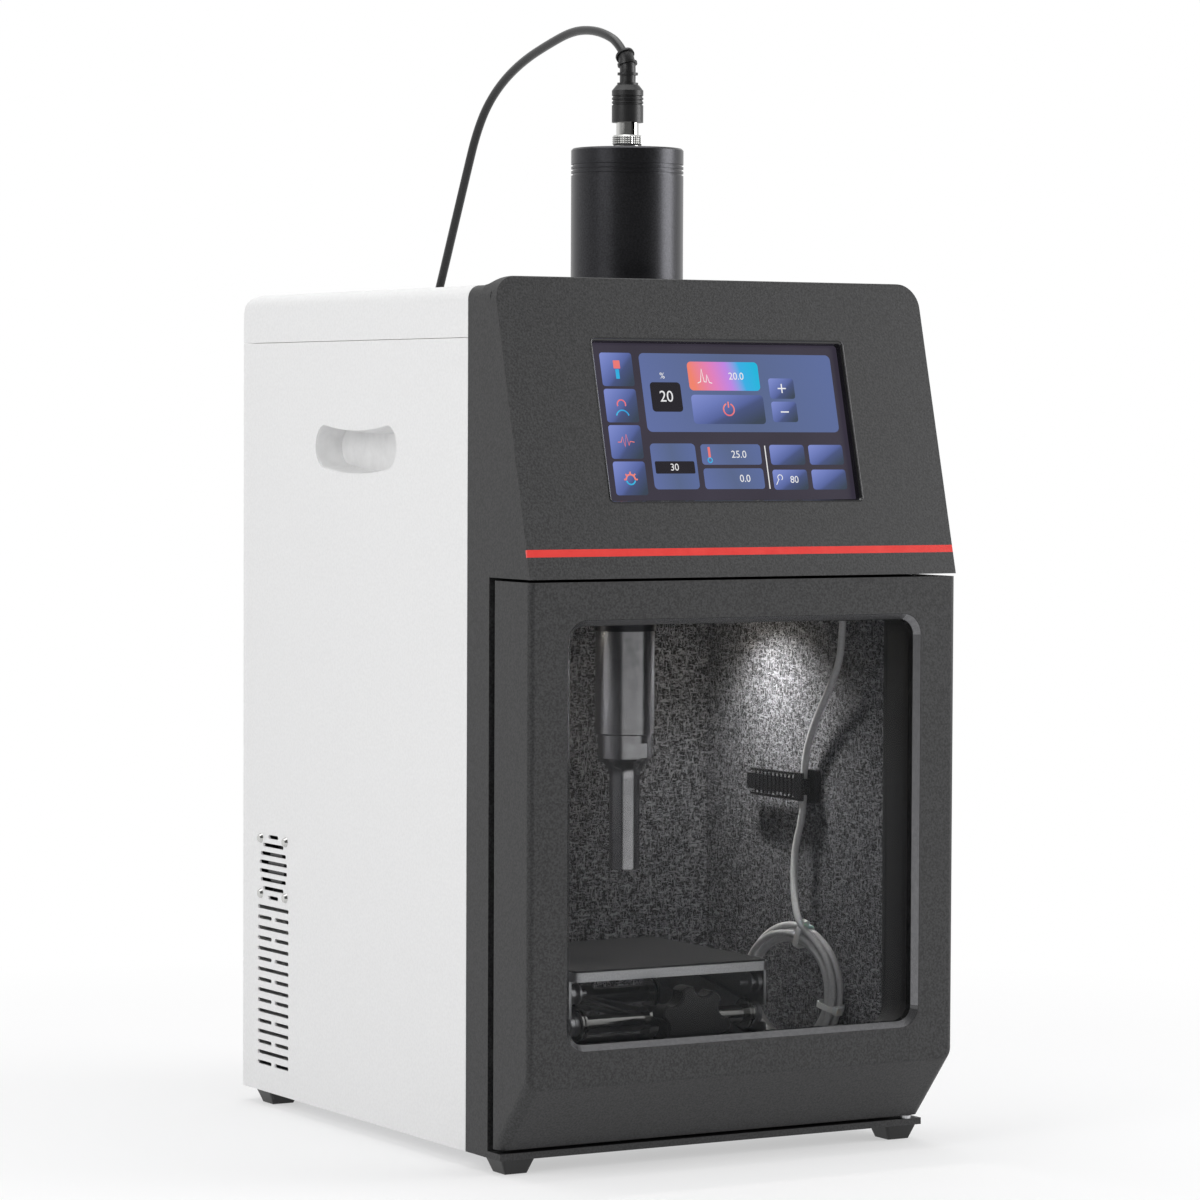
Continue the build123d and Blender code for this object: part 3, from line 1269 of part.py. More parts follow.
with BuildPart() as power_inlet:
    inlet_face = Plane(
        origin=(INLET_X, FRONT + DEPTH, INLET_Z), x_dir=(-1, 0, 0), z_dir=(0, 1, 0)
    )
    with BuildSketch(inlet_face):
        RectangleRounded(INLET_WIDTH + 2 * INLET_LIP, INLET_HEIGHT + 2 * INLET_LIP, 2)
    extrude(amount=INLET_PROUD)
    with BuildSketch(inlet_face):
        Rectangle(INLET_WIDTH - 2 * PANEL_GAP, INLET_HEIGHT - 2 * PANEL_GAP)
    extrude(amount=-INLET_TAIL)
    # Socket for the mains connector, with its three pins
    with BuildSketch(inlet_face.offset(INLET_PROUD)):
        with Locations((0, -SOCKET_DOWN)):
            Trapezoid(SOCKET_WIDTH, SOCKET_HEIGHT, SOCKET_ANGLE, rotation=180)
    extrude(amount=-SOCKET_DEPTH, mode=Mode.SUBTRACT)
    with BuildSketch(inlet_face.offset(INLET_PROUD - SOCKET_DEPTH)):
        with Locations(*SOCKET_PINS):
            Rectangle(PIN_WIDTH, PIN_HEIGHT)
    extrude(amount=PIN_LENGTH)
    # Well for the rocker, with a bore for its pins
    with BuildSketch(inlet_face.offset(INLET_PROUD)):
        with Locations((0, ROCKER_UP)):
            Rectangle(ROCKER_WELL, ROCKER_HEIGHT + 1)
    extrude(amount=-ROCKER_WELL_DEPTH, mode=Mode.SUBTRACT)
    with BuildSketch(Plane(origin=ROCKER_AXIS, x_dir=(-1, 0, 0), z_dir=(0, 0, -1))):
        Circle(ROCKER_PIN_RADIUS + RUNNING_CLEARANCE)
    extrude(amount=ROCKER_HEIGHT / 2 + ROCKER_PIN + PANEL_GAP, both=True, mode=Mode.SUBTRACT)
save(power_inlet, "power_inlet")

with BuildPart() as switch_rocker:
    with BuildSketch(Plane(origin=ROCKER_AXIS, x_dir=(-1, 0, 0), z_dir=(0, 0, -1))):
        with BuildLine():
            left_tip = (-ROCKER_HALF, ROCKER_RISE)
            right_tip = (ROCKER_HALF, ROCKER_RISE)
            left_foot = (-ROCKER_FOOT, -ROCKER_FOOT_DROP)
            right_foot = (ROCKER_FOOT, -ROCKER_FOOT_DROP)
            ThreePointArc(left_tip, (0, ROCKER_RISE - ROCKER_DISH), right_tip)
            Line(right_tip, right_foot)
            ThreePointArc(right_foot, (0, -ROCKER_BELLY), left_foot)
            Line(left_foot, left_tip)
        make_face()
    extrude(amount=ROCKER_HEIGHT / 2, both=True)
    with BuildSketch(Plane(origin=ROCKER_AXIS, x_dir=(-1, 0, 0), z_dir=(0, 0, -1))):
        Circle(ROCKER_PIN_RADIUS)
    extrude(amount=ROCKER_HEIGHT / 2 + ROCKER_PIN, both=True)
ROCKER_REST = Rotation(0, 0, ROCKER_THROW)
switch_rocker.part = (
    Location(ROCKER_AXIS) * ROCKER_REST * Location(ROCKER_AXIS).inverse() * switch_rocker.part
)
save(switch_rocker, "switch_rocker")

# Electronics behind the chamber

GENERATOR_X = 30.0
GENERATOR_WIDTH = 120.0
GENERATOR_HEIGHT = 170.0
GENERATOR_Z = 190.0
GENERATOR_STANDOFF = 8.0
GENERATOR_STUDS_ACROSS = 108.0
GENERATOR_STUDS_UP = 158.0
CORE_HEIGHT = 34.0
CAPACITOR_RADIUS = 9.0
CAPACITOR_HEIGHT = 30.0
SINK_Z = 160.0
SINK_WIDTH = 104.0
SINK_HEIGHT = 84.0
SINK_BASE = 6.0
SINK_FINS = 13
SINK_FIN = 2.0
SINK_FIN_PITCH = 8.4
SINK_FIN_LENGTH = 26.0

with BuildPart() as generator_board:
    generator_front = BOX_BACK + SHEET + GENERATOR_STANDOFF
    generator_x = (GENERATOR_X - GENERATOR_WIDTH / 2, GENERATOR_X + GENERATOR_WIDTH / 2)
    generator_z = (GENERATOR_Z - GENERATOR_HEIGHT / 2, GENERATOR_Z + GENERATOR_HEIGHT / 2)
    solid_box(generator_x, (generator_front, generator_front + BOARD), generator_z)
    with BuildSketch(facing_front(generator_front)):
        with Locations((GENERATOR_X, GENERATOR_Z)):
            with GridLocations(GENERATOR_STUDS_ACROSS, GENERATOR_STUDS_UP, 2, 2):
                Circle(BOARD_HOLE_INSET / 2)
    extrude(amount=GENERATOR_STANDOFF)
    # Transformer core and a row of capacitors
    component_depth = generator_front + BOARD
    core_x = (GENERATOR_X - 50, GENERATOR_X - 8)
    core_z = (GENERATOR_Z + 30, GENERATOR_Z + 68)
    solid_box(core_x, (component_depth, component_depth + CORE_HEIGHT), core_z)
    with BuildSketch(facing_front(component_depth)):
        with Locations((GENERATOR_X + 30, GENERATOR_Z + 62)):
            with GridLocations(20, 1, 3, 1):
                Circle(CAPACITOR_RADIUS)
    extrude(amount=-CAPACITOR_HEIGHT)
save(generator_board, "generator_board")

with BuildPart() as heat_sink:
    sink_x = (GENERATOR_X - SINK_WIDTH / 2, GENERATOR_X + SINK_WIDTH / 2)
    sink_z = (SINK_Z - SINK_HEIGHT / 2, SINK_Z + SINK_HEIGHT / 2)
    solid_box(sink_x, (component_depth, component_depth + SINK_BASE), sink_z)
    with BuildSketch(facing_front(component_depth + SINK_BASE)):
        with Locations((GENERATOR_X, SINK_Z)):
            with GridLocations(SINK_FIN_PITCH, 1, SINK_FINS, 1):
                Rectangle(SINK_FIN, SINK_HEIGHT)
    extrude(amount=-SINK_FIN_LENGTH)
save(heat_sink, "heat_sink")

# Door: moulded shell, window, inner frame and seal

HINGE_X = HALF_WIDTH - HINGE_SIDE_INSET
HINGE_BOSS = 4.6
LOW_BOSS = 3.5
BOSS_LENGTH = 10.0
WINDOW_Z = (WINDOW_BOTTOM_Z + WINDOW_TOP_Z) / 2
WINDOW_HEIGHT = WINDOW_TOP_Z - WINDOW_BOTTOM_Z


def window_rectangle(grow):
    """Window outline, larger or smaller all round by one distance."""
    with Locations((0, WINDOW_Z)):
        RectangleRounded(
            WINDOW_WIDTH + 2 * grow, WINDOW_HEIGHT + 2 * grow, WINDOW_RADIUS + grow
        )


def door_side(inset):
    """Side view of the door, drawn in by a wall: front, toe, back."""
    toe_run = hypot(DOOR_TOE, CREASE_Z - DOOR_BOTTOM_Z)
    toe_shift = inset * (toe_run - DOOR_TOE) / (CREASE_Z - DOOR_BOTTOM_Z)
    bottom = DOOR_BOTTOM_Z + inset
    toe_at_bottom = DOOR_TOE * (CREASE_Z - bottom) / (CREASE_Z - DOOR_BOTTOM_Z)
    toe_at_bottom += inset * toe_run / (CREASE_Z - DOOR_BOTTOM_Z)
    return [
        (FRONT + inset, CREASE_Z + toe_shift),
        (FRONT + inset, DOOR_TOP_Z - inset),
        (FRONT + DOOR_THICK, DOOR_TOP_Z - inset),
        (FRONT + DOOR_THICK, bottom),
        (FRONT + min(toe_at_bottom, DOOR_THICK - 1), bottom),
    ]


with BuildPart() as door_shell:
    with BuildSketch(Plane.YZ):
        Polygon(*door_side(0), align=None)
    extrude(amount=HALF_WIDTH, both=True)
    toe_edges = door_shell.edges().filter_by(
        lambda edge: abs(edge.tangent_at(0.5).Z) > 0.1 and abs(edge.tangent_at(0.5).Y) > 0.1
    )
    fillet(toe_edges, radius=TOE_CORNER_RADIUS)
    front_edges = door_shell.edges().filter_by(Axis.Z).group_by(Axis.Y)[0]
    fillet(front_edges, radius=DOOR_EDGE_RADIUS)
    # Hollow back
    with BuildSketch(Plane.YZ):
        Polygon(*door_side(DOOR_WALL), align=None)
    extrude(amount=HALF_WIDTH - DOOR_WALL, both=True, mode=Mode.SUBTRACT)
    # Return that carries the window, then the bevelled opening through it
    with BuildSketch(facing_front(DOOR_WALL)):
        window_rectangle(0)
    extrude(amount=-(PANE_DEPTH - DOOR_WALL))
    with BuildSketch(facing_front(0)):
        window_rectangle(-WINDOW_BEVEL)
    extrude(amount=-PANE_DEPTH, mode=Mode.SUBTRACT)
    with BuildSketch(facing_front(0)):
        window_rectangle(0)
    with BuildSketch(facing_front(WINDOW_BEVEL)):
        window_rectangle(-WINDOW_BEVEL)
    loft(mode=Mode.SUBTRACT)
    # Bosses for the hinge pins, top and bottom
    with BuildSketch(Plane.XY.offset(DOOR_TOP_Z)):
        with Locations((HINGE_X, FRONT + HINGE_DEPTH)):
            Circle(HINGE_BOSS)
        with Locations(((HINGE_X + HALF_WIDTH) / 2 - 1, FRONT + HINGE_DEPTH)):
            Rectangle(HINGE_SIDE_INSET - 2, 3)
    extrude(amount=-BOSS_LENGTH)
    with BuildSketch(Plane.XY.offset(DOOR_TOP_Z)):
        with Locations((HINGE_X, FRONT + HINGE_DEPTH)):
            Circle(HINGE_PIN_RADIUS + HINGE_CLEARANCE)
    extrude(amount=-BOSS_LENGTH, mode=Mode.SUBTRACT)
    with BuildSketch(Plane.XY.offset(DOOR_BOTTOM_Z)):
        with Locations((HINGE_X, FRONT + HINGE_DEPTH)):
            Circle(LOW_BOSS)
    extrude(amount=BOSS_LENGTH)
    with BuildSketch(Plane.XY.offset(DOOR_BOTTOM_Z)):
        with Locations((HINGE_X, FRONT + HINGE_DEPTH)):
            Circle(HINGE_PIN_RADIUS + HINGE_CLEARANCE)
    extrude(amount=BOSS_LENGTH, mode=Mode.SUBTRACT)
save(door_shell, "door_shell")

with BuildPart() as window_pane:
    with BuildSketch(facing_front(PANE_DEPTH)):
        window_rectangle(PANE_MARGIN)
    extrude(amount=-PANE)
save(window_pane, "window_pane")

LINER_INSET = DOOR_WALL + PANEL_GAP
LINER_WALL = 2.4
TUNNEL_FRONT = PANE_DEPTH + PANE

with BuildPart() as door_liner:
    # Flat back that closes the shell
    liner_bottom = DOOR_BOTTOM_Z + DOOR_WALL + PANEL_GAP
    liner_top = DOOR_TOP_Z - LINER_INSET
    with BuildSketch(facing_front(DOOR_THICK - LINER_WALL)):
        with Locations((0, (liner_bottom + liner_top) / 2)):
            Rectangle(2 * (HALF_WIDTH - LINER_INSET), liner_top - liner_bottom)
    extrude(amount=-LINER_WALL)
    # Tunnel round the window, with a foot that holds the pane
    with BuildSketch(facing_front(TUNNEL_FRONT)):
        window_rectangle(TUNNEL_MARGIN + LINER_WALL)
    extrude(amount=-(DOOR_THICK - TUNNEL_FRONT))
    with BuildSketch(facing_front(TUNNEL_FRONT)):
        window_rectangle(PANE_MARGIN)
    extrude(amount=-LINER_WALL)
    with BuildSketch(facing_front(TUNNEL_FRONT)):
        window_rectangle(TUNNEL_MARGIN)
    extrude(amount=-(DOOR_THICK - TUNNEL_FRONT), mode=Mode.SUBTRACT)
    # Room for the hinge bosses
    with BuildSketch(Plane.XY.offset(DOOR_BOTTOM_Z)):
        with Locations((HINGE_X, FRONT + HINGE_DEPTH)):
            Circle(HINGE_BOSS + PANEL_GAP)
        with Locations((HINGE_X + HINGE_BOSS, FRONT + HINGE_DEPTH)):
            Rectangle(2 * HINGE_BOSS, 4)
    extrude(amount=BOSS_LENGTH + PANEL_GAP, mode=Mode.SUBTRACT)
    with BuildSketch(Plane.XY.offset(DOOR_TOP_Z)):
        with Locations((HINGE_X, FRONT + HINGE_DEPTH)):
            Circle(HINGE_BOSS + PANEL_GAP)
        with Locations((HINGE_X + HINGE_BOSS, FRONT + HINGE_DEPTH)):
            Rectangle(2 * HINGE_BOSS, 4)
    extrude(amount=-BOSS_LENGTH - PANEL_GAP, mode=Mode.SUBTRACT)
save(door_liner, "door_liner")

with BuildPart() as door_seal:
    seal_length = FRAME_FRONT - DOOR_THICK - SEAL_CLEARANCE
    seal_inner = TUNNEL_MARGIN + LINER_WALL + 1
    with BuildSketch(facing_front(DOOR_THICK)):
        window_rectangle(seal_inner + SEAL_WIDTH)
    extrude(amount=-seal_length)
    with BuildSketch(facing_front(DOOR_THICK)):
        window_rectangle(seal_inner)
    extrude(amount=-seal_length, mode=Mode.SUBTRACT)
save(door_seal, "door_seal")

PIN_PLATE = DOOR_GAP - 0.3
PIN_REACH = BOSS_LENGTH - 1.5

with BuildPart() as hinge_pins:
    pin_spot = (HINGE_X, FRONT + HINGE_DEPTH)
    with BuildSketch(Plane.XY.offset(BEZEL_BOTTOM_Z)):
        with Locations(pin_spot):
            Circle(HINGE_BOSS)
    extrude(amount=-PIN_PLATE)
    with BuildSketch(Plane.XY.offset(BEZEL_BOTTOM_Z)):
        with Locations(pin_spot):
            Circle(HINGE_PIN_RADIUS)
    extrude(amount=-PIN_PLATE - PIN_REACH)
    with BuildSketch(Plane.XY.offset(SILL_TOP_Z)):
        with Locations(pin_spot):
            Circle(LOW_BOSS)
    extrude(amount=DOOR_BOTTOM_Z - SILL_TOP_Z - 0.3)
    with BuildSketch(Plane.XY.offset(SILL_TOP_Z)):
        with Locations(pin_spot):
            Circle(HINGE_PIN_RADIUS)
    extrude(amount=DOOR_BOTTOM_Z - SILL_TOP_Z + PIN_REACH)
save(hinge_pins, "hinge_pins")

with BuildPart() as door_magnets:
    magnet_x = -HALF_WIDTH + MAGNET_RADIUS + 4
    with BuildSketch(facing_front(FRAME_FRONT)):
        with Locations((magnet_x, CREASE_Z + 12), (magnet_x, WINDOW_TOP_Z)):
            Circle(MAGNET_RADIUS)
    extrude(amount=FRAME_FRONT - DOOR_THICK - SEAL_CLEARANCE)
save(door_magnets, "door_magnets")

# Scissor jack: two stages of crossed arms, drawn together by a screw

JACK_HALF = JACK_SIZE / 2
JACK_FRONT = JACK_DEPTH - JACK_HALF
JACK_BACK = JACK_DEPTH + JACK_HALF
JACK_FLOOR_Z = CHAMBER_FLOOR_Z
JACK_TOP_Z = JACK_FLOOR_Z + JACK_HEIGHT
JACK_INSIDE = JACK_SIZE - 2 * JACK_SHEET
FRONT_PIVOT = JACK_FRONT + PIVOT_INSET
BACK_PIVOT = JACK_BACK - PIVOT_INSET
LOW_PIVOT_Z = JACK_FLOOR_Z + PIVOT_HEIGHT
HIGH_PIVOT_Z = JACK_TOP_Z - PIVOT_HEIGHT
MIDDLE_Z = (LOW_PIVOT_Z + HIGH_PIVOT_Z) / 2
MIDDLE_DEPTH = (FRONT_PIVOT + BACK_PIVOT) / 2
SIDE_INNER = JACK_HALF - JACK_SHEET
OUTER_LAYER = SIDE_INNER - ARM_GAP
INNER_LAYER = OUTER_LAYER - ARM_THICK - ARM_GAP
INNER_FACE = INNER_LAYER - ARM_THICK
PIVOT_BORE = PIVOT_RADIUS + RUNNING_CLEARANCE
SLOT_HALF = PIVOT_RADIUS + SLOT_CLEARANCE


def jack_side_plane(x):
    """Plane whose x runs to the back and y up, at a place across the jack."""
    return Plane(origin=(JACK_X + x, FRONT, 0), x_dir=(0, 1, 0), z_dir=(1, 0, 0))


def jack_box(x, depth, z, mode=Mode.ADD):
    """Box placed from the jack's own centre line."""
    solid_box((JACK_X + x[0], JACK_X + x[1]), depth, z, mode)


def stud(x_from, x_to, depth, z, radius, mode=Mode.ADD):
    """Round bar across the jack between two places."""
    with BuildSketch(jack_side_plane(x_from)) as end:
        with Locations((depth, z)):
            Circle(radius)
    extrude(end.sketch, amount=x_to - x_from, mode=mode)


def jack_outline(inset):
    """Outline of a tray, which has rounded corners."""
    with Locations((JACK_X, FRONT + JACK_DEPTH)):
        RectangleRounded(JACK_SIZE - 2 * inset, JACK_SIZE - 2 * inset, JACK_CORNER - inset)


def jack_tray(plate_z, lip_z, side_z):
    """Stamped tray: plate, lip all round, and two deeper sides with bent-in ends."""
    with BuildSketch(Plane.XY.offset(plate_z[0])) as plate:
        jack_outline(0)
    extrude(plate.sketch, amount=plate_z[1] - plate_z[0])
    with BuildSketch(Plane.XY.offset(lip_z[0])) as lip:
        jack_outline(0)
        with Locations((JACK_X, FRONT + JACK_DEPTH)):
            RectangleRounded(JACK_INSIDE, JACK_INSIDE, JACK_CORNER - JACK_SHEET, mode=Mode.SUBTRACT)
    extrude(lip.sketch, amount=lip_z[1] - lip_z[0])
    side_depth = (JACK_FRONT + JACK_CORNER, JACK_BACK - JACK_CORNER)
    for side in (-1, 1):
        jack_box(sorted((side * SIDE_INNER, side * JACK_HALF)), side_depth, side_z)


def side_slots(z):
    """Slots in both sides, in which the front pivots run to the back."""
    with BuildSketch(jack_side_plane(-JACK_HALF)) as slot:
        with Locations((FRONT_PIVOT + SLOT_TRAVEL / 2, z)):
            SlotOverall(SLOT_TRAVEL + 2 * SLOT_HALF, 2 * SLOT_HALF)
    extrude(slot.sketch, amount=JACK_SIZE, mode=Mode.SUBTRACT)


with BuildPart() as jack_base:
    jack_tray(
        (JACK_FLOOR_Z, JACK_FLOOR_Z + JACK_SHEET),
        (JACK_FLOOR_Z, JACK_FLOOR_Z + JACK_LIP),
        (JACK_FLOOR_Z, JACK_FLOOR_Z + JACK_SIDE),
    )
    side_slots(LOW_PIVOT_Z)
    for side in (-1, 1):
        arm_face = side * (OUTER_LAYER - ARM_THICK)
        stud(side * SIDE_INNER, arm_face, BACK_PIVOT, LOW_PIVOT_Z, PIVOT_RADIUS)
save(jack_base, "jack_base")

with BuildPart() as jack_platform:
    jack_tray(
        (JACK_TOP_Z - JACK_SHEET, JACK_TOP_Z),
        (JACK_TOP_Z - JACK_LIP, JACK_TOP_Z),
        (JACK_TOP_Z - JACK_SIDE, JACK_TOP_Z),
    )
    side_slots(HIGH_PIVOT_Z)
    for side in (-1, 1):
        stud(side * SIDE_INNER, side * INNER_FACE, BACK_PIVOT, HIGH_PIVOT_Z, PIVOT_RADIUS)
save(jack_platform, "jack_platform")

with BuildPart() as jack_mat:
    with BuildSketch(Plane.XY.offset(JACK_TOP_Z)):
        with Locations((JACK_X, FRONT + JACK_DEPTH)):
            RectangleRounded(JACK_SIZE - MAT_MARGIN, JACK_SIZE - MAT_MARGIN, MAT_MARGIN)
    extrude(amount=MAT)
save(jack_mat, "jack_mat")


def bar(layer, start, end, side):
    """Flat bar with round ends in one layer of one side of the jack."""
    centre = ((start[0] + end[0]) / 2, (start[1] + end[1]) / 2)
    length = hypot(end[0] - start[0], end[1] - start[1])
    lean = degrees(atan2(end[1] - start[1], end[0] - start[0]))
    with BuildSketch(jack_side_plane(side * layer)) as outline:
        with Locations(Location((centre[0], centre[1], 0), (0, 0, lean))):
            SlotOverall(length + ARM_WIDTH, ARM_WIDTH)
    extrude(outline.sketch, amount=-side * ARM_THICK)


def bore(side, layer, spot, radius):
    """Hole through one layer at a pivot."""
    outer = side * (layer + ARM_GAP / 2)
    inner = side * (layer - ARM_THICK - ARM_GAP / 2)
    stud(outer, inner, *spot, radius, mode=Mode.SUBTRACT)


FRONT_LOW = (FRONT_PIVOT, LOW_PIVOT_Z)
BACK_LOW = (BACK_PIVOT, LOW_PIVOT_Z)
FRONT_MIDDLE = (FRONT_PIVOT, MIDDLE_Z)
BACK_MIDDLE = (BACK_PIVOT, MIDDLE_Z)
FRONT_HIGH = (FRONT_PIVOT, HIGH_PIVOT_Z)
BACK_HIGH = (BACK_PIVOT, HIGH_PIVOT_Z)
LOW_CROSS = (MIDDLE_DEPTH, (LOW_PIVOT_Z + MIDDLE_Z) / 2)
HIGH_CROSS = (MIDDLE_DEPTH, (HIGH_PIVOT_Z + MIDDLE_Z) / 2)

# Arm a: base at the back to the front shaft, outer layer, with the crossing pin
with BuildPart() as jack_arm_a:
    for side in (-1, 1):
        bar(OUTER_LAYER, BACK_LOW, FRONT_MIDDLE, side)
        bore(side, OUTER_LAYER, BACK_LOW, PIVOT_BORE)
        bore(side, OUTER_LAYER, FRONT_MIDDLE, PIVOT_BORE)
        stud(side * (OUTER_LAYER - ARM_THICK), side * INNER_FACE, *LOW_CROSS, PIVOT_RADIUS)
save(jack_arm_a, "jack_arm_a")

# Arm b: slot at the base's front to the rear shaft, inner layer
with BuildPart() as jack_arm_b:
    for side in (-1, 1):
        bar(INNER_LAYER, FRONT_LOW, BACK_MIDDLE, side)
        bore(side, INNER_LAYER, LOW_CROSS, PIVOT_BORE)
        bore(side, INNER_LAYER, BACK_MIDDLE, PIVOT_BORE)
        stud(side * INNER_LAYER, side * JACK_HALF, *FRONT_LOW, PIVOT_RADIUS)
save(jack_arm_b, "jack_arm_b")

# Arm c: front shaft to the platform's back, inner layer
with BuildPart() as jack_arm_c:
    for side in (-1, 1):
        bar(INNER_LAYER, FRONT_MIDDLE, BACK_HIGH, side)
        bore(side, INNER_LAYER, FRONT_MIDDLE, PIVOT_BORE)
        bore(side, INNER_LAYER, BACK_HIGH, PIVOT_BORE)
        bore(side, INNER_LAYER, HIGH_CROSS, PIVOT_BORE)
save(jack_arm_c, "jack_arm_c")

# Arm d: rear shaft to the slot at the platform's front, outer layer
with BuildPart() as jack_arm_d:
    for side in (-1, 1):
        bar(OUTER_LAYER, BACK_MIDDLE, FRONT_HIGH, side)
        bore(side, OUTER_LAYER, BACK_MIDDLE, PIVOT_BORE)
        stud(side * (OUTER_LAYER - ARM_THICK), side * INNER_FACE, *HIGH_CROSS, PIVOT_RADIUS)
        stud(side * OUTER_LAYER, side * JACK_HALF, *FRONT_HIGH, PIVOT_RADIUS)
        # Pin end with its washer, inside the frame
        pin_face = INNER_FACE - WASHER
        stud(side * (OUTER_LAYER - ARM_THICK), side * pin_face, *FRONT_HIGH, PIVOT_RADIUS)
        stud(side * INNER_FACE, side * pin_face, *FRONT_HIGH, PIN_WASHER_RADIUS)
        stud(side * pin_face, side * (pin_face - PIN_END), *FRONT_HIGH, PIN_END_RADIUS)
save(jack_arm_d, "jack_arm_d")


def jack_shaft(depth, bore_radius):
    """Cross shaft with journals for the arms, washers and a bored centre block."""
    with BuildPart() as shaft:
        washer_face = INNER_FACE - ARM_GAP
        stud(-washer_face, washer_face, depth, MIDDLE_Z, SHAFT_RADIUS)
        for side in (-1, 1):
            for washer_start in (washer_face, washer_face - WASHER_PITCH):
                washer_end = washer_start - WASHER
                stud(side * washer_start, side * washer_end, depth, MIDDLE_Z, WASHER_RADIUS)
            stud(side * washer_face, side * OUTER_LAYER, depth, MIDDLE_Z, PIVOT_RADIUS)
        stud(-TRUNNION_LENGTH / 2, TRUNNION_LENGTH / 2, depth, MIDDLE_Z, TRUNNION_RADIUS)
        with BuildSketch(facing_front(depth + 2 * TRUNNION_RADIUS)):
            with Locations((JACK_X, MIDDLE_Z)):
                Circle(bore_radius)
        extrude(amount=4 * TRUNNION_RADIUS, mode=Mode.SUBTRACT)
    return shaft


jack_front_shaft = jack_shaft(FRONT_PIVOT, SCREW_RADIUS + RUNNING_CLEARANCE)
save(jack_front_shaft, "jack_front_shaft")
jack_rear_shaft = jack_shaft(BACK_PIVOT, SCREW_RADIUS + RUNNING_CLEARANCE)
save(jack_rear_shaft, "jack_rear_shaft")

KNOB_BACK = KNOB_FRONT + KNOB_THICK
KNOB_HUB_RADIUS = 9.0
KNOB_HUB = 8.0
KNOB_FACE = 3.0
LOBE_RADIUS = KNOB_RADIUS * 0.27
HOLLOW_RADIUS = KNOB_RADIUS * 0.27
HOLLOW_CIRCLE = KNOB_RADIUS * 1.02
THRUST = 3.0
THRUST_RADIUS = 6.5
THRUST_CLEARANCE = 0.2
SCREW_TAIL = 4.0

with BuildPart() as jack_screw:
    screw_front = KNOB_FRONT + KNOB_FACE
    screw_back = BACK_PIVOT + TRUNNION_RADIUS + SCREW_TAIL
    with BuildSketch(facing_front(screw_front)):
        with Locations((JACK_X, MIDDLE_Z)):
            Circle(SCREW_RADIUS)
    extrude(amount=-(screw_back - screw_front))
    # Collars each side of the front shaft
    collar_back = FRONT_PIVOT + TRUNNION_RADIUS + THRUST_CLEARANCE
    for collar_front in (FRONT_PIVOT - TRUNNION_RADIUS - THRUST - THRUST_CLEARANCE, collar_back):
        with BuildSketch(facing_front(collar_front)):
            with Locations((JACK_X, MIDDLE_Z)):
                Circle(THRUST_RADIUS)
        extrude(amount=-THRUST)
save(jack_screw, "jack_screw")

with BuildPart() as jack_knob:
    with BuildSketch(facing_front(KNOB_FRONT)):
        with Locations((JACK_X, MIDDLE_Z)):
            Circle(KNOB_RADIUS * 0.8)
            with PolarLocations(KNOB_RADIUS - LOBE_RADIUS, KNOB_LOBES):
                Circle(LOBE_RADIUS)
            with PolarLocations(HOLLOW_CIRCLE, KNOB_LOBES, start_angle=180 / KNOB_LOBES):
                Circle(HOLLOW_RADIUS, mode=Mode.SUBTRACT)
    extrude(amount=-KNOB_THICK)
    knob_rims = jack_knob.edges().filter_by(lambda e: abs(e.tangent_at(0.5).Y) < 0.01)
    chamfer(knob_rims.group_by(Axis.Y)[0], length=1.2)
    # Hub behind the star
    with BuildSketch(facing_front(KNOB_BACK)):
        with Locations((JACK_X, MIDDLE_Z)):
            Circle(KNOB_HUB_RADIUS)
    extrude(amount=-KNOB_HUB)
    with BuildSketch(facing_front(screw_front)):
        with Locations((JACK_X, MIDDLE_Z)):
            Circle(SCREW_RADIUS)
    extrude(amount=-KNOB_THICK - KNOB_HUB, mode=Mode.SUBTRACT)
save(jack_knob, "jack_knob")

# Numbers that the moving parts follow
arm_length = hypot(BACK_PIVOT - FRONT_PIVOT, MIDDLE_Z - LOW_PIVOT_Z)
rest_angle = asin((MIDDLE_Z - LOW_PIVOT_Z) / arm_length)
print(f"arms {arm_length:.2f} mm between pivots, at {degrees(rest_angle):.2f} degrees at rest")
for name, spot in (
    ("back low pivot", at(JACK_X, BACK_PIVOT, LOW_PIVOT_Z)),
    ("low crossing", at(JACK_X, *LOW_CROSS)),
    ("front shaft", at(JACK_X, FRONT_PIVOT, MIDDLE_Z)),
    ("back middle", at(JACK_X, BACK_PIVOT, MIDDLE_Z)),
    ("back high pivot", at(JACK_X, BACK_PIVOT, HIGH_PIVOT_Z)),
    ("door hinge", at(HINGE_X, HINGE_DEPTH, 0)),
    ("rocker", ROCKER_AXIS),
    ("fan axis", at(FAN_PANEL_X, FAN_DEPTH_FROM_FRONT, FAN_Z)),
):
    print(name, [round(value, 3) for value in spot])
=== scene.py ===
# %% [markdown]
# # A bench-top probe sonicator
# The machine is a white steel cabinet with a black moulded front. An ultrasonic
# transducer stands in its roof and a probe hangs from it into a lit chamber. The
# engineering model gives every part its place, so this script only loads it, gives
# each surface its real finish and adds what a drawing leaves out.

# %% Load the engineering model
import json
import math

import bpy
from mathutils import Matrix, Vector


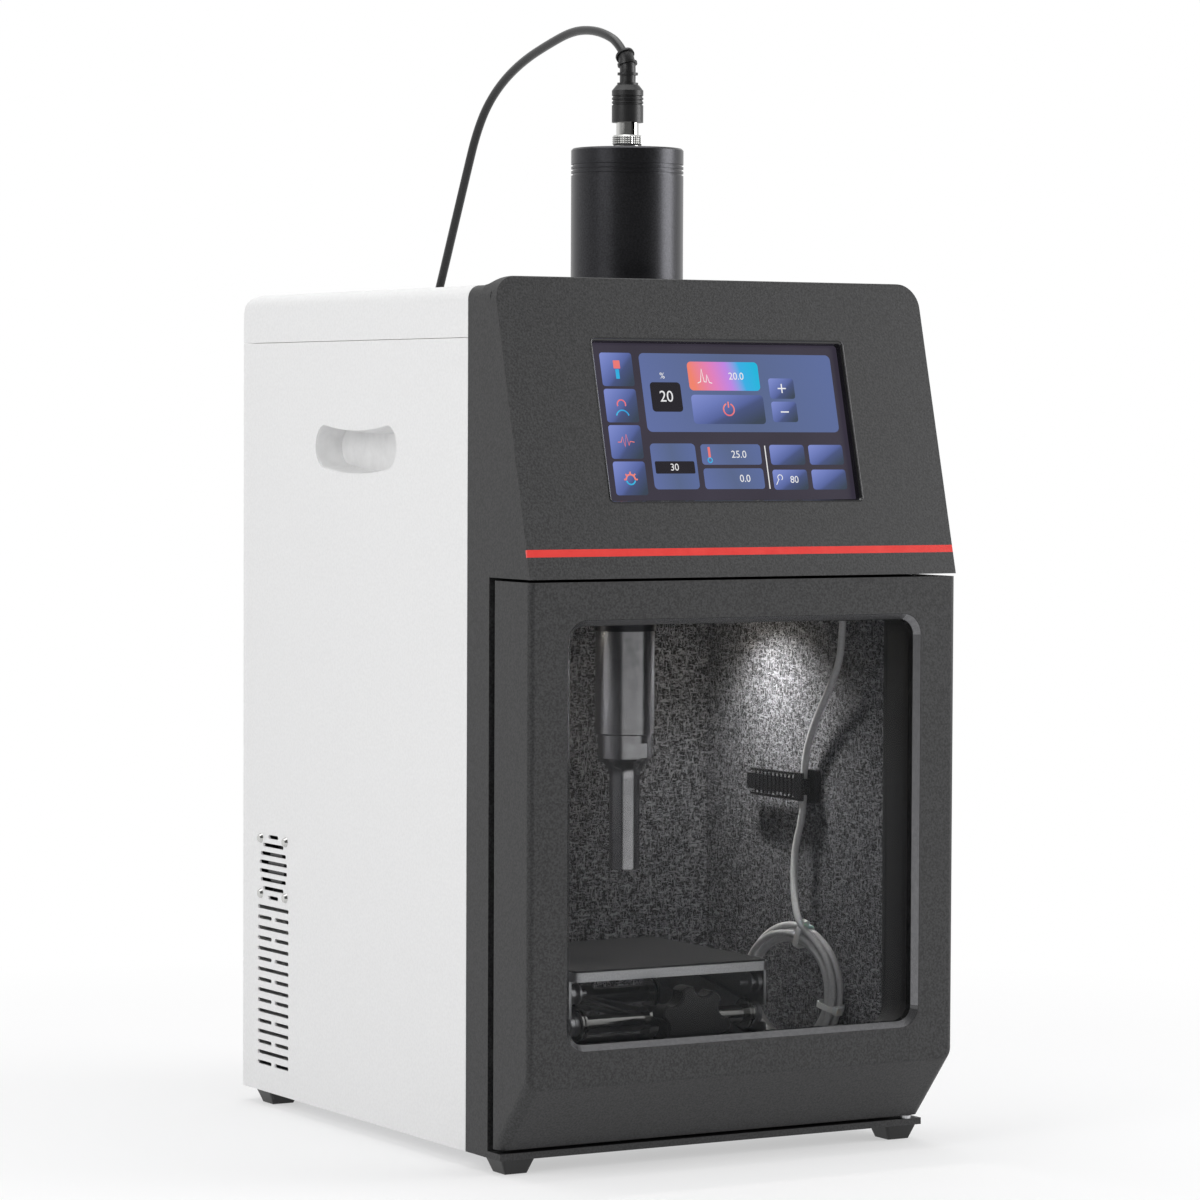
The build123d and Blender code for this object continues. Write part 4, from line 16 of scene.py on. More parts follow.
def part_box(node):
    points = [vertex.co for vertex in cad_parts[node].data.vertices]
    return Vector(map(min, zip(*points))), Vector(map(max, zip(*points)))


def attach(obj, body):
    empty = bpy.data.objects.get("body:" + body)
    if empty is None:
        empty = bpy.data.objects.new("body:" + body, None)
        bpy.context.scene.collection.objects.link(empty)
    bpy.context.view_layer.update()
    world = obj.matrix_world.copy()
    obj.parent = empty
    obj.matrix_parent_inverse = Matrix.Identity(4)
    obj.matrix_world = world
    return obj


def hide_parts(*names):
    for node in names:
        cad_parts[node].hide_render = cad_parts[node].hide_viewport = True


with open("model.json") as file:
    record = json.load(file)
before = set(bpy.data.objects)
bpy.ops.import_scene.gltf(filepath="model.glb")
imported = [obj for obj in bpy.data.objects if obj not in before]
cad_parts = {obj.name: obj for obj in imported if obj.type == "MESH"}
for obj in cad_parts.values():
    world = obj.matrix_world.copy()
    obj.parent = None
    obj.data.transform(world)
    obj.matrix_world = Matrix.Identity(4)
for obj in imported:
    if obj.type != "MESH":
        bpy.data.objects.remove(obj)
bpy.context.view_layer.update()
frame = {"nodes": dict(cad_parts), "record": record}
nodes = frame["nodes"]
MM = 0.001
DOOR_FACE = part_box("door_shell")[0][1]


def at(x, depth, z):
    """Point in metres from millimetres: across, back from the door's face, and up."""
    return Vector((x * MM, DOOR_FACE + depth * MM, z * MM))


# %% [markdown]
# Colours are written as the hex values a designer would use. Blender works with
# linear light, so one function turns each hex value into what a shader expects.

# %% Colour


def colour(hex_value):
    """Linear colour of an sRGB hex value such as E6E6E8, fully opaque."""
    channels = [int(hex_value[i : i + 2], 16) / 255 for i in (0, 2, 4)]
    linear = [c / 12.92 if c <= 0.04045 else ((c + 0.055) / 1.055) ** 2.4 for c in channels]
    return (*linear, 1.0)


print("middle grey 808080 is", round(colour("808080")[0], 3), "in linear light")

# %% [markdown]
# A finish is a material with one physically based shader. One small function adds any
# node and makes its links, so each pattern reads as a list of what feeds what. Patterns
# are placed by the object's own coordinates and stay put when a part moves.

# %% Finishes and their nodes


def add_node(material, kind, inputs=None, **settings):
    """Adds a node with its settings; an input takes a value or another node's output."""
    node = material.node_tree.nodes.new(kind)
    for name, value in settings.items():
        setattr(node, name, value)
    for name, value in (inputs or {}).items():
        if isinstance(value, bpy.types.NodeSocket):
            material.node_tree.links.new(value, node.inputs[name])
        else:
            node.inputs[name].default_value = value
    return node


def new_finish(name, hex_value, roughness, metallic=0.0, **more):
    """A material with one physically based shader, ready for its pattern."""
    material = bpy.data.materials.new(name)
    material.use_nodes = True
    shader = material.node_tree.nodes["Principled BSDF"]
    shader.inputs["Base Color"].default_value = colour(hex_value)
    shader.inputs["Roughness"].default_value = roughness
    shader.inputs["Metallic"].default_value = metallic
    for socket, value in more.items():
        shader.inputs[socket.replace("_", " ")].default_value = value
    material.diffuse_color = colour(hex_value)
    return material


def shader_of(material):
    """The material's main shader."""
    return material.node_tree.nodes["Principled BSDF"]


def plug_in(material, output, socket):
    """Links an output to a socket of the material's main shader."""
    material.node_tree.links.new(output, shader_of(material).inputs[socket])


def place(material):
    """Position on the object, in metres."""
    return add_node(material, "ShaderNodeTexCoord").outputs["Object"]


def show_finishes(title, *finishes):
    """Prints the names of new finishes."""
    print(title, [finish.name for finish in finishes])


# %% [markdown]
# A real surface is never quite even. These helpers give it relief, a wandering tone and
# a wandering gloss, all from one noise whose size is given in millimetres.

# %% Patterns


def grain(material, size, depth, detail=2.0, stretch=(1, 1, 1)):
    """Fine relief from a noise of one real size; returns the noise for other uses."""
    scaled = add_node(
        material, "ShaderNodeMapping", {"Vector": place(material), "Scale": stretch}
    )
    noise = add_node(
        material,
        "ShaderNodeTexNoise",
        {"Vector": scaled.outputs["Vector"], "Scale": 1 / size, "Detail": detail},
    )
    bump = add_node(
        material,
        "ShaderNodeBump",
        {"Strength": 1.0, "Distance": depth, "Height": noise.outputs["Fac"]},
    )
    plug_in(material, bump.outputs["Normal"], "Normal")
    return noise.outputs["Fac"]


def ramp(material, factor, stops):
    """Colour ramp from (position, linear colour) stops."""
    node = add_node(material, "ShaderNodeValToRGB", {"Fac": factor})
    elements = node.color_ramp.elements
    while len(elements) < len(stops):
        elements.new(0.5)
    for element, (position, value) in zip(elements, stops):
        element.position = position
        element.color = value
    return node.outputs["Color"]


def tint(material, factor, dark, light, low=0.3, high=0.7):
    """Base colour that wanders between two hex values with a pattern."""
    stops = ((low, colour(dark)), (high, colour(light)))
    plug_in(material, ramp(material, factor, stops), "Base Color")


def polish(material, factor, low, high):
    """Roughness that follows a pattern between two values."""
    spread = add_node(
        material, "ShaderNodeMapRange", {"Value": factor, "To Min": low, "To Max": high}
    )
    plug_in(material, spread.outputs["Result"], "Roughness")


# %% [markdown]
# ## Camera, floor and light
# The camera stands left of the machine, a little above the middle of its door, with
# a long lens, as a catalogue photographer would place it to keep the edges upright.

# %% Camera
CAMERA_AZIMUTH = math.radians(-30.087)
CAMERA_ELEVATION = math.radians(2.308)
CAMERA_ROLL = math.radians(0.249)
CAMERA_DISTANCE = 2390.15
CAMERA_ACROSS = -78.68
CAMERA_HEIGHT = 300.3
LENS = 135.59
SENSOR_WIDTH = 36
FARTHEST_SEEN = 20

backwards = Vector(
    (
        math.sin(CAMERA_AZIMUTH) * math.cos(CAMERA_ELEVATION),
        -math.cos(CAMERA_AZIMUTH) * math.cos(CAMERA_ELEVATION),
        math.sin(CAMERA_ELEVATION),
    )
)
sideways = (-backwards).cross(Vector((0, 0, 1))).normalized()
upwards = sideways.cross(-backwards)
camera_right = sideways * math.cos(CAMERA_ROLL) + upwards * math.sin(CAMERA_ROLL)
camera_up = upwards * math.cos(CAMERA_ROLL) - sideways * math.sin(CAMERA_ROLL)
spot = at(0, 0, CAMERA_HEIGHT) + (sideways * CAMERA_ACROSS + backwards * CAMERA_DISTANCE) * MM

bpy.ops.object.camera_add()
camera = bpy.context.object
camera.name = "camera"
turn = Matrix((camera_right, camera_up, backwards)).transposed().to_4x4()
camera.matrix_world = Matrix.Translation(spot) @ turn
camera.data.lens = LENS
camera.data.sensor_width = SENSOR_WIDTH
camera.data.clip_end = FARTHEST_SEEN
bpy.context.scene.camera = camera
print("camera at", tuple(round(v, 3) for v in spot))

# %% [markdown]
# The floor is a wide sheet under the feet. A plain white floor would look grey where
# little light falls, so part of what is seen of it is pure white light: half of it near
# the machine, which keeps its shadow, and all of it further out. Only rays that look at
# the floor find that light, so none of it falls on the machine.

# %% Floor
FLOOR_SIZE = 8.0
FLOOR_DROP = 0.0004
WHITE_NEAR, WHITE_FAR = 0.5, 1.0
FADE_START, FADE_END = 0.25, 0.8

bpy.ops.mesh.primitive_plane_add(size=FLOOR_SIZE, location=(0, 0, -FLOOR_DROP))
floor = bpy.context.object
floor.name = "floor"
floor_finish = new_finish("matt_studio_paint", "F2F2F3", 0.9)
rays = add_node(floor_finish, "ShaderNodeLightPath")
seen = add_node(
    floor_finish,
    "ShaderNodeMath",
    {0: rays.outputs["Is Camera Ray"], 1: rays.outputs["Is Glossy Ray"]},
    operation="MAXIMUM",
)
seen_through = add_node(
    floor_finish,
    "ShaderNodeMath",
    {0: seen.outputs["Value"], 1: rays.outputs["Is Transmission Ray"]},
    operation="MAXIMUM",
)
outward = add_node(
    floor_finish, "ShaderNodeVectorMath", {0: place(floor_finish)}, operation="LENGTH"
)
fade = add_node(
    floor_finish,
    "ShaderNodeMapRange",
    {
        "Value": outward.outputs["Value"],
        "From Min": FADE_START,
        "From Max": FADE_END,
        "To Min": WHITE_NEAR,
        "To Max": WHITE_FAR,
    },
)
light_share = add_node(
    floor_finish,
    "ShaderNodeMath",
    {0: seen_through.outputs["Value"], 1: fade.outputs["Result"]},
    operation="MULTIPLY",
)
white_light = add_node(
    floor_finish, "ShaderNodeEmission", {"Color": colour("FFFFFF"), "Strength": 1.0}
)
blend = add_node(
    floor_finish,
    "ShaderNodeMixShader",
    {
        0: light_share.outputs["Value"],
        1: shader_of(floor_finish).outputs["BSDF"],
        2: white_light.outputs["Emission"],
    },
)
floor_out = floor_finish.node_tree.nodes["Material Output"]
floor_finish.node_tree.links.new(blend.outputs["Shader"], floor_out.inputs["Surface"])
floor.data.materials.append(floor_finish)
print("floor", tuple(round(side, 2) for side in floor.dimensions[:2]))

# %% [markdown]
# Three large soft lamps stand on the left, on the right and above, as softboxes would.
# Two small ones sit under the lenses in the chamber's roof and throw pools of light on
# the felt. Their spread is limited, as the lamp's frame does on the real machine.

# %% Lamps


def soft_lamp(name, position, target, size, power):
    """Square lamp that faces a point."""
    bpy.ops.object.light_add(type="AREA", location=position)
    lamp = bpy.context.object
    lamp.name = name
    lamp.data.size = size
    lamp.data.energy = power
    aim = Vector(target) - Vector(position)
    lamp.rotation_euler = aim.to_track_quat("-Z", "Y").to_euler()
    return lamp


# Name, place, the point it faces, size in metres and power in watts
SOFT_LAMPS = (
    ("left_lamp", (-2.0, -0.5, 1.4), (0, 0, 0.25), 1.2, 17),
    ("right_lamp", (1.9, -1.1, 0.9), (0, 0, 0.3), 1.2, 26),
    ("top_lamp", (0, 0.2, 2.2), (0, 0, 0.3), 1.6, 16),
)
LENS_SIDE, LENS_DEPTH, LENS_UNDERSIDE = 76.0, 160.0, 284.5
POOL_OUTWARDS, POOL_DEPTH, POOL_HEIGHT = 1.45, 148, 195
POOL_LAMP_SIZE, POOL_POWER = 0.02, 0.16
POOL_SPREAD = math.radians(112)

lamps = [soft_lamp(*row) for row in SOFT_LAMPS]
for number, lens_x in enumerate((-LENS_SIDE, LENS_SIDE)):
    pool = soft_lamp(
        f"chamber_lamp_{number}",
        at(lens_x, LENS_DEPTH, LENS_UNDERSIDE),
        at(lens_x * POOL_OUTWARDS, POOL_DEPTH, POOL_HEIGHT),
        POOL_LAMP_SIZE,
        POOL_POWER,
    )
    pool.data.spread = POOL_SPREAD
    lamps.append(pool)
print("lamps", [(lamp.name, round(lamp.data.energy, 2)) for lamp in lamps])

# %% [markdown]
# The world is the studio's room. Seen directly it is white, and its soft light on the
# machine is even and weak. Mirrored, it is white behind the machine and dark in front
# of it, as in a studio, so polished metal shows bright edges and a dark middle. The dark
# side is a fixed side of the room, so reflections stay right from every angle.

# %% World
ROOM_LIGHT = 0.5
MIRRORED_BEHIND, MIRRORED_IN_FRONT = 1.0, 0.12
DARKENS_FROM, DARKENS_TO = -0.3, 0.75

scene = bpy.context.scene
scene.view_settings.view_transform = "Standard"
world = bpy.data.worlds.new("studio")
scene.world = world
world.use_nodes = True
sky = world.node_tree.nodes["Background"]
sky.inputs["Color"].default_value = (1, 1, 1, 1)

paths = add_node(world, "ShaderNodeLightPath")
facing = add_node(world, "ShaderNodeTexCoord").outputs["Generated"]
frontness = add_node(
    world, "ShaderNodeVectorMath", {0: facing, 1: backwards}, operation="DOT_PRODUCT"
)
mirrored = add_node(
    world,
    "ShaderNodeMapRange",
    {
        "Value": frontness.outputs["Value"],
        "From Min": DARKENS_FROM,
        "From Max": DARKENS_TO,
        "To Min": MIRRORED_BEHIND,
        "To Max": MIRRORED_IN_FRONT,
    },
)
unseen = add_node(
    world,
    "ShaderNodeMapRange",
    {
        "Value": paths.outputs["Is Glossy Ray"],
        "To Min": ROOM_LIGHT,
        "To Max": mirrored.outputs["Result"],
    },
)
seen_directly = add_node(
    world,
    "ShaderNodeMath",
    {0: paths.outputs["Is Camera Ray"], 1: paths.outputs["Is Transmission Ray"]},
    operation="MAXIMUM",
)
brightness = add_node(
    world,
    "ShaderNodeMapRange",
    {
        "Value": seen_directly.outputs["Value"],
        "To Min": unseen.outputs["Result"],
        "To Max": 1.0,
    },
)
world.node_tree.links.new(brightness.outputs["Result"], sky.inputs["Strength"])
print("world nodes", len(world.node_tree.nodes))

# %% [markdown]
# ## Materials
# Every finish starts from the real one: how it was made decides its relief, and what
# it is decides its gloss. The plastics come first. A mould's spark-eroded steel leaves
# its grain on the large black mouldings, while small parts come out smooth.

# %% Plastics
# Moulded ABS with a spark-eroded grain: satin, dark grey rather than black. The grain
# is drawn at 1.1 mm, a little coarser than real, so that it shows.
moulded_abs = new_finish("moulded_abs_grained", "2B2B2C", 0.52, IOR=1.5)
abs_grain = grain(moulded_abs, 1.1 * MM, 0.09 * MM, detail=3.0)
tint(moulded_abs, abs_grain, "151516", "343435", low=0.35, high=0.65)
polish(moulded_abs, abs_grain, 0.46, 0.62)

# Smooth black nylon and polycarbonate parts: deeper black and glossier.
moulded_nylon = new_finish("moulded_black_nylon", "161617", 0.38)
nylon_grain = grain(moulded_nylon, 1.2 * MM, 0.02 * MM)
tint(moulded_nylon, nylon_grain, "111112", "1C1C1E")

# Red acrylic strip, polished: clear gloss over an even colour.
red_acrylic = new_finish("red_acrylic_polished", "E2332E", 0.2, Coat_Weight=0.3)
red_wave = grain(red_acrylic, 9 * MM, 0.03 * MM)
tint(red_acrylic, red_wave, "E03530", "E63F39")

# Smooth white ABS of the grip pockets.
white_moulding = new_finish("moulded_white_abs", "E4E4E4", 0.35)
pocket_wave = grain(white_moulding, 6 * MM, 0.02 * MM)
tint(white_moulding, pocket_wave, "E0E0E0", "E9E9E9")

# White nylon for the cable ties: slightly milky, soft gloss.
natural_nylon = new_finish("natural_nylon", "E9E9E4", 0.4, Subsurface_Weight=0.1)
tie_grain = grain(natural_nylon, 0.8 * MM, 0.03 * MM)
tint(natural_nylon, tie_grain, "EAEAE6", "F6F6F3")
show_finishes("plastics", moulded_abs, moulded_nylon, red_acrylic, white_moulding, natural_nylon)

# %% [markdown]
# The cabinet is painted steel sheet, and the metals are told apart by how they were
# worked: brushing leaves lines, tumbling an even satin, plating a bright smooth skin.

# %% Paint and metal
# Powder coat on steel sheet: even white with the faint orange peel of baked powder.
powder_coat = new_finish("white_powder_coat", "E8E8E8", 0.42)
peel = grain(powder_coat, 1.6 * MM, 0.02 * MM, detail=1.0)
tint(powder_coat, peel, "E5E5E5", "EBEBEB")
polish(powder_coat, peel, 0.36, 0.48)

# Stainless sheet, brushed along one way.
brushed_stainless = new_finish("brushed_stainless_steel", "B9BABD", 0.32, 1.0)
brush_marks = grain(brushed_stainless, 0.5 * MM, 0.01 * MM, stretch=(0.04, 1, 1))
tint(brushed_stainless, brush_marks, "A9AAAD", "C8C9CC")
polish(brushed_stainless, brush_marks, 0.26, 0.42)

# The jack's folded steel, tumbled to an even satin.
satin_steel = new_finish("satin_folded_steel", "C4C5C7", 0.34, 1.0)
satin_marks = grain(satin_steel, 0.9 * MM, 0.012 * MM, detail=4.0)
tint(satin_steel, satin_marks, "B4B5B8", "CFD0D2")
polish(satin_steel, satin_marks, 0.28, 0.44)

# Nickel plate on turned brass: bright, with faint handling marks.
nickel_plate = new_finish("nickel_plated_brass", "C6C6C4", 0.16, 1.0)
smears = grain(nickel_plate, 4 * MM, 0.002 * MM)
polish(nickel_plate, smears, 0.08, 0.22)

# Black anodised aluminium: metallic under a dark dye.
black_anodised = new_finish("black_anodised_aluminium", "3A3A3C", 0.28, 1.0)
lathe_marks = grain(black_anodised, 0.9 * MM, 0.001 * MM)
tint(black_anodised, lathe_marks, "363638", "424245")
polish(black_anodised, lathe_marks, 0.26, 0.36)

# Turned titanium alloy: greyer and softer than steel. It is turned so finely that no
# ring shows, so it has no relief, only a slow change of tone and gloss.
turned_titanium = new_finish("turned_titanium", "B6B6B8", 0.22, 1.0)
titanium_tone = add_node(
    turned_titanium,
    "ShaderNodeTexNoise",
    {"Vector": place(turned_titanium), "Scale": 1 / (6 * MM), "Detail": 1.0},
).outputs["Fac"]
tint(turned_titanium, titanium_tone, "B0B0B2", "BEBEC0")
polish(turned_titanium, titanium_tone, 0.2, 0.26)

# Machined aluminium for the front mass and the heat sink.
machined_aluminium = new_finish("machined_aluminium", "C9CACC", 0.3, 1.0)
mill_marks = grain(machined_aluminium, 0.6 * MM, 0.008 * MM, stretch=(1, 1, 0.1))
tint(machined_aluminium, mill_marks, "BDBEC0", "D4D5D7")
show_finishes("paint and steel", powder_coat, brushed_stainless, satin_steel, nickel_plate)
show_finishes("light metals", black_anodised, turned_titanium, machined_aluminium)

# %% [markdown]
# The soft materials take little light. Rubber is matt, cable sheath has the dull shine
# of soft PVC, and the mat's ribs are a wave with a real spacing.

# %% Rubber and cable sheath
# Natural rubber compound for feet, boots and grommet: matt, with a dusty bloom.
black_rubber = new_finish("black_rubber", "111112", 0.4)
bloom = grain(black_rubber, 1.0 * MM, 0.04 * MM, detail=4.0)
tint(black_rubber, bloom, "0D0D0E", "171718")

# Ribbed rubber mat on the platform.
mat_rubber = new_finish("ribbed_rubber_mat", "232325", 0.7)
ribs = add_node(
    mat_rubber,
    "ShaderNodeTexWave",
    {"Vector": place(mat_rubber), "Scale": 100.0, "Distortion": 0.0},
    bands_direction="Y",
)
rib_bump = add_node(
    mat_rubber,
    "ShaderNodeBump",
    {"Strength": 1.0, "Distance": 0.4 * MM, "Height": ribs.outputs["Fac"]},
)
plug_in(mat_rubber, rib_bump.outputs["Normal"], "Normal")
# The colour follows the ribs' height: painted shade in the grooves and painted light on the
# crests.
tint(mat_rubber, ribs.outputs["Fac"], "1D1D1F", "2D2D30")

# Soft PVC sheaths.
black_sheath = new_finish("black_pvc_sheath", "111112", 0.3)
sheath_grain = grain(black_sheath, 1.5 * MM, 0.03 * MM)
tint(black_sheath, sheath_grain, "0D0D0E", "161617")
grey_sheath = new_finish("grey_pvc_sheath", "C6C6C7", 0.48)
grey_grain = grain(grey_sheath, 1.5 * MM, 0.03 * MM)
tint(grey_sheath, grey_grain, "BEBEBF", "CECECF")
show_finishes("rubber and sheath", black_rubber, mat_rubber, black_sheath, grey_sheath)

# %% [markdown]
# The chamber is lined with sound-damping foam that is faced with needled felt: dark wool
# crossed by short pale fibres. Modelled hairs would be far too many, so two stretched
# noises, one along and one across, are cut to narrow bands that read as fibres.

# %% Felt
# Fibres about 1 mm thick are coarser than real, so that they show.
FIBRE_EDGE = (0.5, 0.62)
flecked_felt = new_finish("needled_acoustic_felt", "3A3A3C", 0.95)
grain(flecked_felt, 1.3 * MM, 0.3 * MM, detail=5.0)


def fibres(material, thickness, stretch):
    """Mask of fibres of one real thickness, drawn out along one way."""
    pulled = add_node(
        material, "ShaderNodeMapping", {"Vector": place(material), "Scale": stretch}
    )
    noise = add_node(
        material,
        "ShaderNodeTexNoise",
        {
            "Vector": pulled.outputs["Vector"],
            "Scale": 1 / thickness,
            "Detail": 3.0,
            "Roughness": 0.65,
            "Distortion": 1.2,
        },
    )
    stops = ((FIBRE_EDGE[0], (0, 0, 0, 1)), (FIBRE_EDGE[1], (1, 1, 1, 1)))
    return ramp(material, noise.outputs["Fac"], stops)


both_ways = add_node(
    flecked_felt,
    "ShaderNodeMath",
    {
        0: fibres(flecked_felt, 0.9 * MM, (1.0, 1.0, 0.25)),
        1: fibres(flecked_felt, 1.2 * MM, (0.3, 0.3, 1.0)),
    },
    operation="MAXIMUM",
)
tint(flecked_felt, both_ways.outputs["Value"], "161618", "96969A", low=0.0, high=1.0)
show_finishes("felt", flecked_felt)

# %% [markdown]
# The window is smoked acrylic sheet, which a low alpha gives more surely than real
# refraction does on a thin pane. The lamp lenses and the display are switched on, so the
# lenses glow by themselves.

# %% Clear parts and electronics
# Cast acrylic pane: it darkens what is behind it and keeps a faint gloss.
cast_acrylic = new_finish("cast_acrylic_sheet", "101317", 0.03, Alpha=0.14)
pane_haze = add_node(
    cast_acrylic, "ShaderNodeTexNoise", {"Vector": place(cast_acrylic), "Scale": 12.0}
)
polish(cast_acrylic, pane_haze.outputs["Fac"], 0.02, 0.06)

# Cover glass over a display that is switched on: near black with a violet tone.
cover_glass = new_finish("cover_glass_over_display", "1B191F", 0.1, Coat_Weight=0.6)
glass_tone = grain(cover_glass, 30 * MM, 0.001 * MM)
tint(cover_glass, glass_tone, "1A181E", "211F27")

# Opal lens of a lamp that is on.
opal_lens = new_finish("opal_lamp_lens", "F4F4EE", 0.35, Emission_Strength=24.0)
shader_of(opal_lens).inputs["Emission Color"].default_value = colour("FFF6E6")
opal_cloud = grain(opal_lens, 5 * MM, 0.02 * MM)
tint(opal_lens, opal_cloud, "EDEDE6", "FAFAF5")

# Glass-fibre laminate under green solder mask.
solder_mask = new_finish("green_solder_mask", "1F6B3E", 0.35)
weave = grain(solder_mask, 0.8 * MM, 0.02 * MM)
tint(solder_mask, weave, "1A6138", "277A49")

# Fired ceramic: warm white and matt.
fired_ceramic = new_finish("fired_piezo_ceramic", "D9CDB4", 0.6)
ceramic_grain = grain(fired_ceramic, 0.6 * MM, 0.02 * MM)
tint(fired_ceramic, ceramic_grain, "D0C3A8", "E1D7C2")
show_finishes("clear parts", cast_acrylic, cover_glass, opal_lens)
show_finishes("electronics", solder_mask, fired_ceramic)

# %% [markdown]
# The drawing's parts have the right shapes, so each one only takes its finish.

# %% Give every part its finish
FINISH_OF_SLOT = {
    "black_moulding": moulded_abs,
    "white_enamel": powder_coat,
    "white_moulding": white_moulding,
    "red_strip": red_acrylic,
    "cover_glass": cover_glass,
    "window_acrylic": cast_acrylic,
    "circuit_board": solder_mask,
    "steel_sheet": brushed_stainless,
    "jack_steel": satin_steel,
    "bright_steel": nickel_plate,
    "black_felt": flecked_felt,
    "lamp_lens": opal_lens,
    "black_rubber": black_rubber,
    "black_anodised": black_anodised,
    "bare_aluminium": machined_aluminium,
    "horn_metal": turned_titanium,
    "tip_metal": turned_titanium,
    "piezo_ceramic": fired_ceramic,
    "black_plastic": moulded_nylon,
    "grey_cable": grey_sheath,
    "black_cable": black_sheath,
    "white_nylon": natural_nylon,
}
OWN_FINISH = {"jack_mat": mat_rubber}

slot_of = {row["node"]: row["material_slot"] for row in frame["record"]["subparts"]}
for name, node in nodes.items():
    chosen = OWN_FINISH.get(name, FINISH_OF_SLOT[slot_of[name]])
    for material_slot in node.material_slots:
        material_slot.material = chosen
print("parts with a finish", len(nodes), "of slots", len(set(slot_of.values())))

# %% [markdown]
# ## The touch screen's picture
# The display shows a control page: a column of tiles, a large panel and rows of smaller
# fields. Each field is a thin plate with round corners, laid in layers on the glass. It
# could be one painted picture, but plates keep sharp edges at any size.

# %% The glass and its layers
# The screen's panel leans back by its run over its rise, in millimetres. The glass is
# sunk into it and its middle lies up the slope from the panel's foot.
PANEL_RUN, PANEL_RISE = 40.5, 157.5
PANEL_FOOT = at(0, 0, 313)
MIDDLE_UP_SLOPE = 85.2
SCREEN_UP = Vector((0, PANEL_RUN, PANEL_RISE)).normalized()
SCREEN_OUT = Vector((0, -SCREEN_UP.z, SCREEN_UP.y))
SCREEN_RECESS = 5.0
SCREEN_MIDDLE = PANEL_FOOT + (SCREEN_UP * MIDDLE_UP_SLOPE - SCREEN_OUT * SCREEN_RECESS) * MM
LAYER = 0.09
GLASS_GAP = 0.01
# The page is drawn a little right of the glass's middle, on three layers.
PICTURE_SHIFT = 3.2
PICTURE_LAYERS = 3
ON_SCREEN = Matrix.Translation(SCREEN_MIDDLE) @ Matrix(
    (Vector((1, 0, 0)), SCREEN_UP, SCREEN_OUT)
).transposed().to_4x4()


def lay_on_screen(piece, across, up, level):
    """Moves a flat piece's mesh to its place on the glass, in millimetres and layers."""
    lift = (GLASS_GAP + level * LAYER) * MM
    right = across + (PICTURE_SHIFT if 0 < level <= PICTURE_LAYERS else 0.0)
    piece.data.transform(ON_SCREEN @ Matrix.Translation((right * MM, up * MM, lift)))
    piece.data.update()
    return piece


print("screen leans back", round(math.degrees(math.atan2(PANEL_RUN, PANEL_RISE)), 1), "degrees")

# %% [markdown]
# A field is a plane: it is sized, its corners are bevelled as vertices, and it is
# extruded by one layer. Figures are text and icons are curves with a round section, and
# both are made a mesh before they move to their place.

# %% Plates, figures and lines
FIGURE_DEPTH = 0.03


def screen_plate(left, bottom, right, top, level, corner=1.6):
    """Thin plate with round corners between four edges."""
    bpy.ops.object.select_all(action="DESELECT")
    bpy.ops.mesh.primitive_plane_add(size=1)
    plate = bpy.context.object
    bpy.ops.object.mode_set(mode="EDIT")
    bpy.ops.transform.resize(value=((right - left) * MM, (top - bottom) * MM, 1))
    bpy.ops.mesh.bevel(offset=corner * MM, segments=5, affect="VERTICES")
    bpy.ops.mesh.extrude_region_move(TRANSFORM_OT_translate={"value": (0, 0, LAYER * MM)})
    bpy.ops.mesh.select_all(action="SELECT")
    bpy.ops.mesh.normals_make_consistent(inside=False)
    bpy.ops.object.mode_set(mode="OBJECT")
    return lay_on_screen(plate, (left + right) / 2, (bottom + top) / 2, level)


def screen_text(body, across, up, height, level):
    """Figures of one height, as a mesh."""
    bpy.ops.object.select_all(action="DESELECT")
    bpy.ops.object.text_add()
    figures = bpy.context.object
    figures.data.body = body
    figures.data.align_x = "CENTER"
    figures.data.align_y = "CENTER"
    figures.data.size = height * MM
    figures.data.extrude = FIGURE_DEPTH * MM
    bpy.ops.object.convert(target="MESH")
    return lay_on_screen(bpy.context.object, across, up, level)


def screen_line(points, width, level):
    """Drawn line of one width through points given in millimetres."""
    data = bpy.data.curves.new("stroke", "CURVE")
    data.dimensions = "3D"
    spline = data.splines.new("POLY")
    spline.points.add(len(points) - 1)
    for control, (across, up) in zip(spline.points, points):
        control.co = (across * MM, up * MM, 0, 1)
    data.bevel_depth = width / 2 * MM
    data.bevel_resolution = 1
    data.use_fill_caps = True
    stroke = bpy.data.objects.new("stroke", data)
    scene.collection.objects.link(stroke)
    bpy.ops.object.select_all(action="DESELECT")
    stroke.select_set(True)
    bpy.context.view_layer.objects.active = stroke
    bpy.ops.object.convert(target="MESH")
    return lay_on_screen(bpy.context.object, 0, 0, level)


def arc(across, up, radius, start, end, count=14):
    """Points of an arc between two angles in degrees."""
    angles = [math.radians(start + (end - start) * i / count) for i in range(count + 1)]
    return [(across + radius * math.cos(a), up + radius * math.sin(a)) for a in angles]


# %% [markdown]
# Pieces that share a finish and a body become one object. It is named, takes its
# material and says which body carries it, so that it moves with that body.

# %% Join pieces


def join_pieces(name, pieces, finish, body):
    """Joins pieces that share a finish and puts them on a body."""
    bpy.ops.object.select_all(action="DESELECT")
    for piece in pieces:
        piece.select_set(True)
    bpy.context.view_layer.objects.active = pieces[0]
    if len(pieces) > 1:
        bpy.ops.object.join()
    whole = bpy.context.object
    whole.name = name
    whole.data.name = name
    # A text or a new primitive keeps its object at the origin, so only the mesh moves.
    bpy.ops.object.transform_apply(location=True, rotation=True, scale=True)
    whole.data.materials.clear()
    whole.data.materials.append(finish)
    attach(whole, body)
    print(name, "faces", len(whole.data.polygons))
    return whole


def join_on_glass(name, pieces, finish):
    """Joins the pieces of one display colour, which all belong to the glass."""
    return join_pieces(name, pieces, finish, "cabinet")


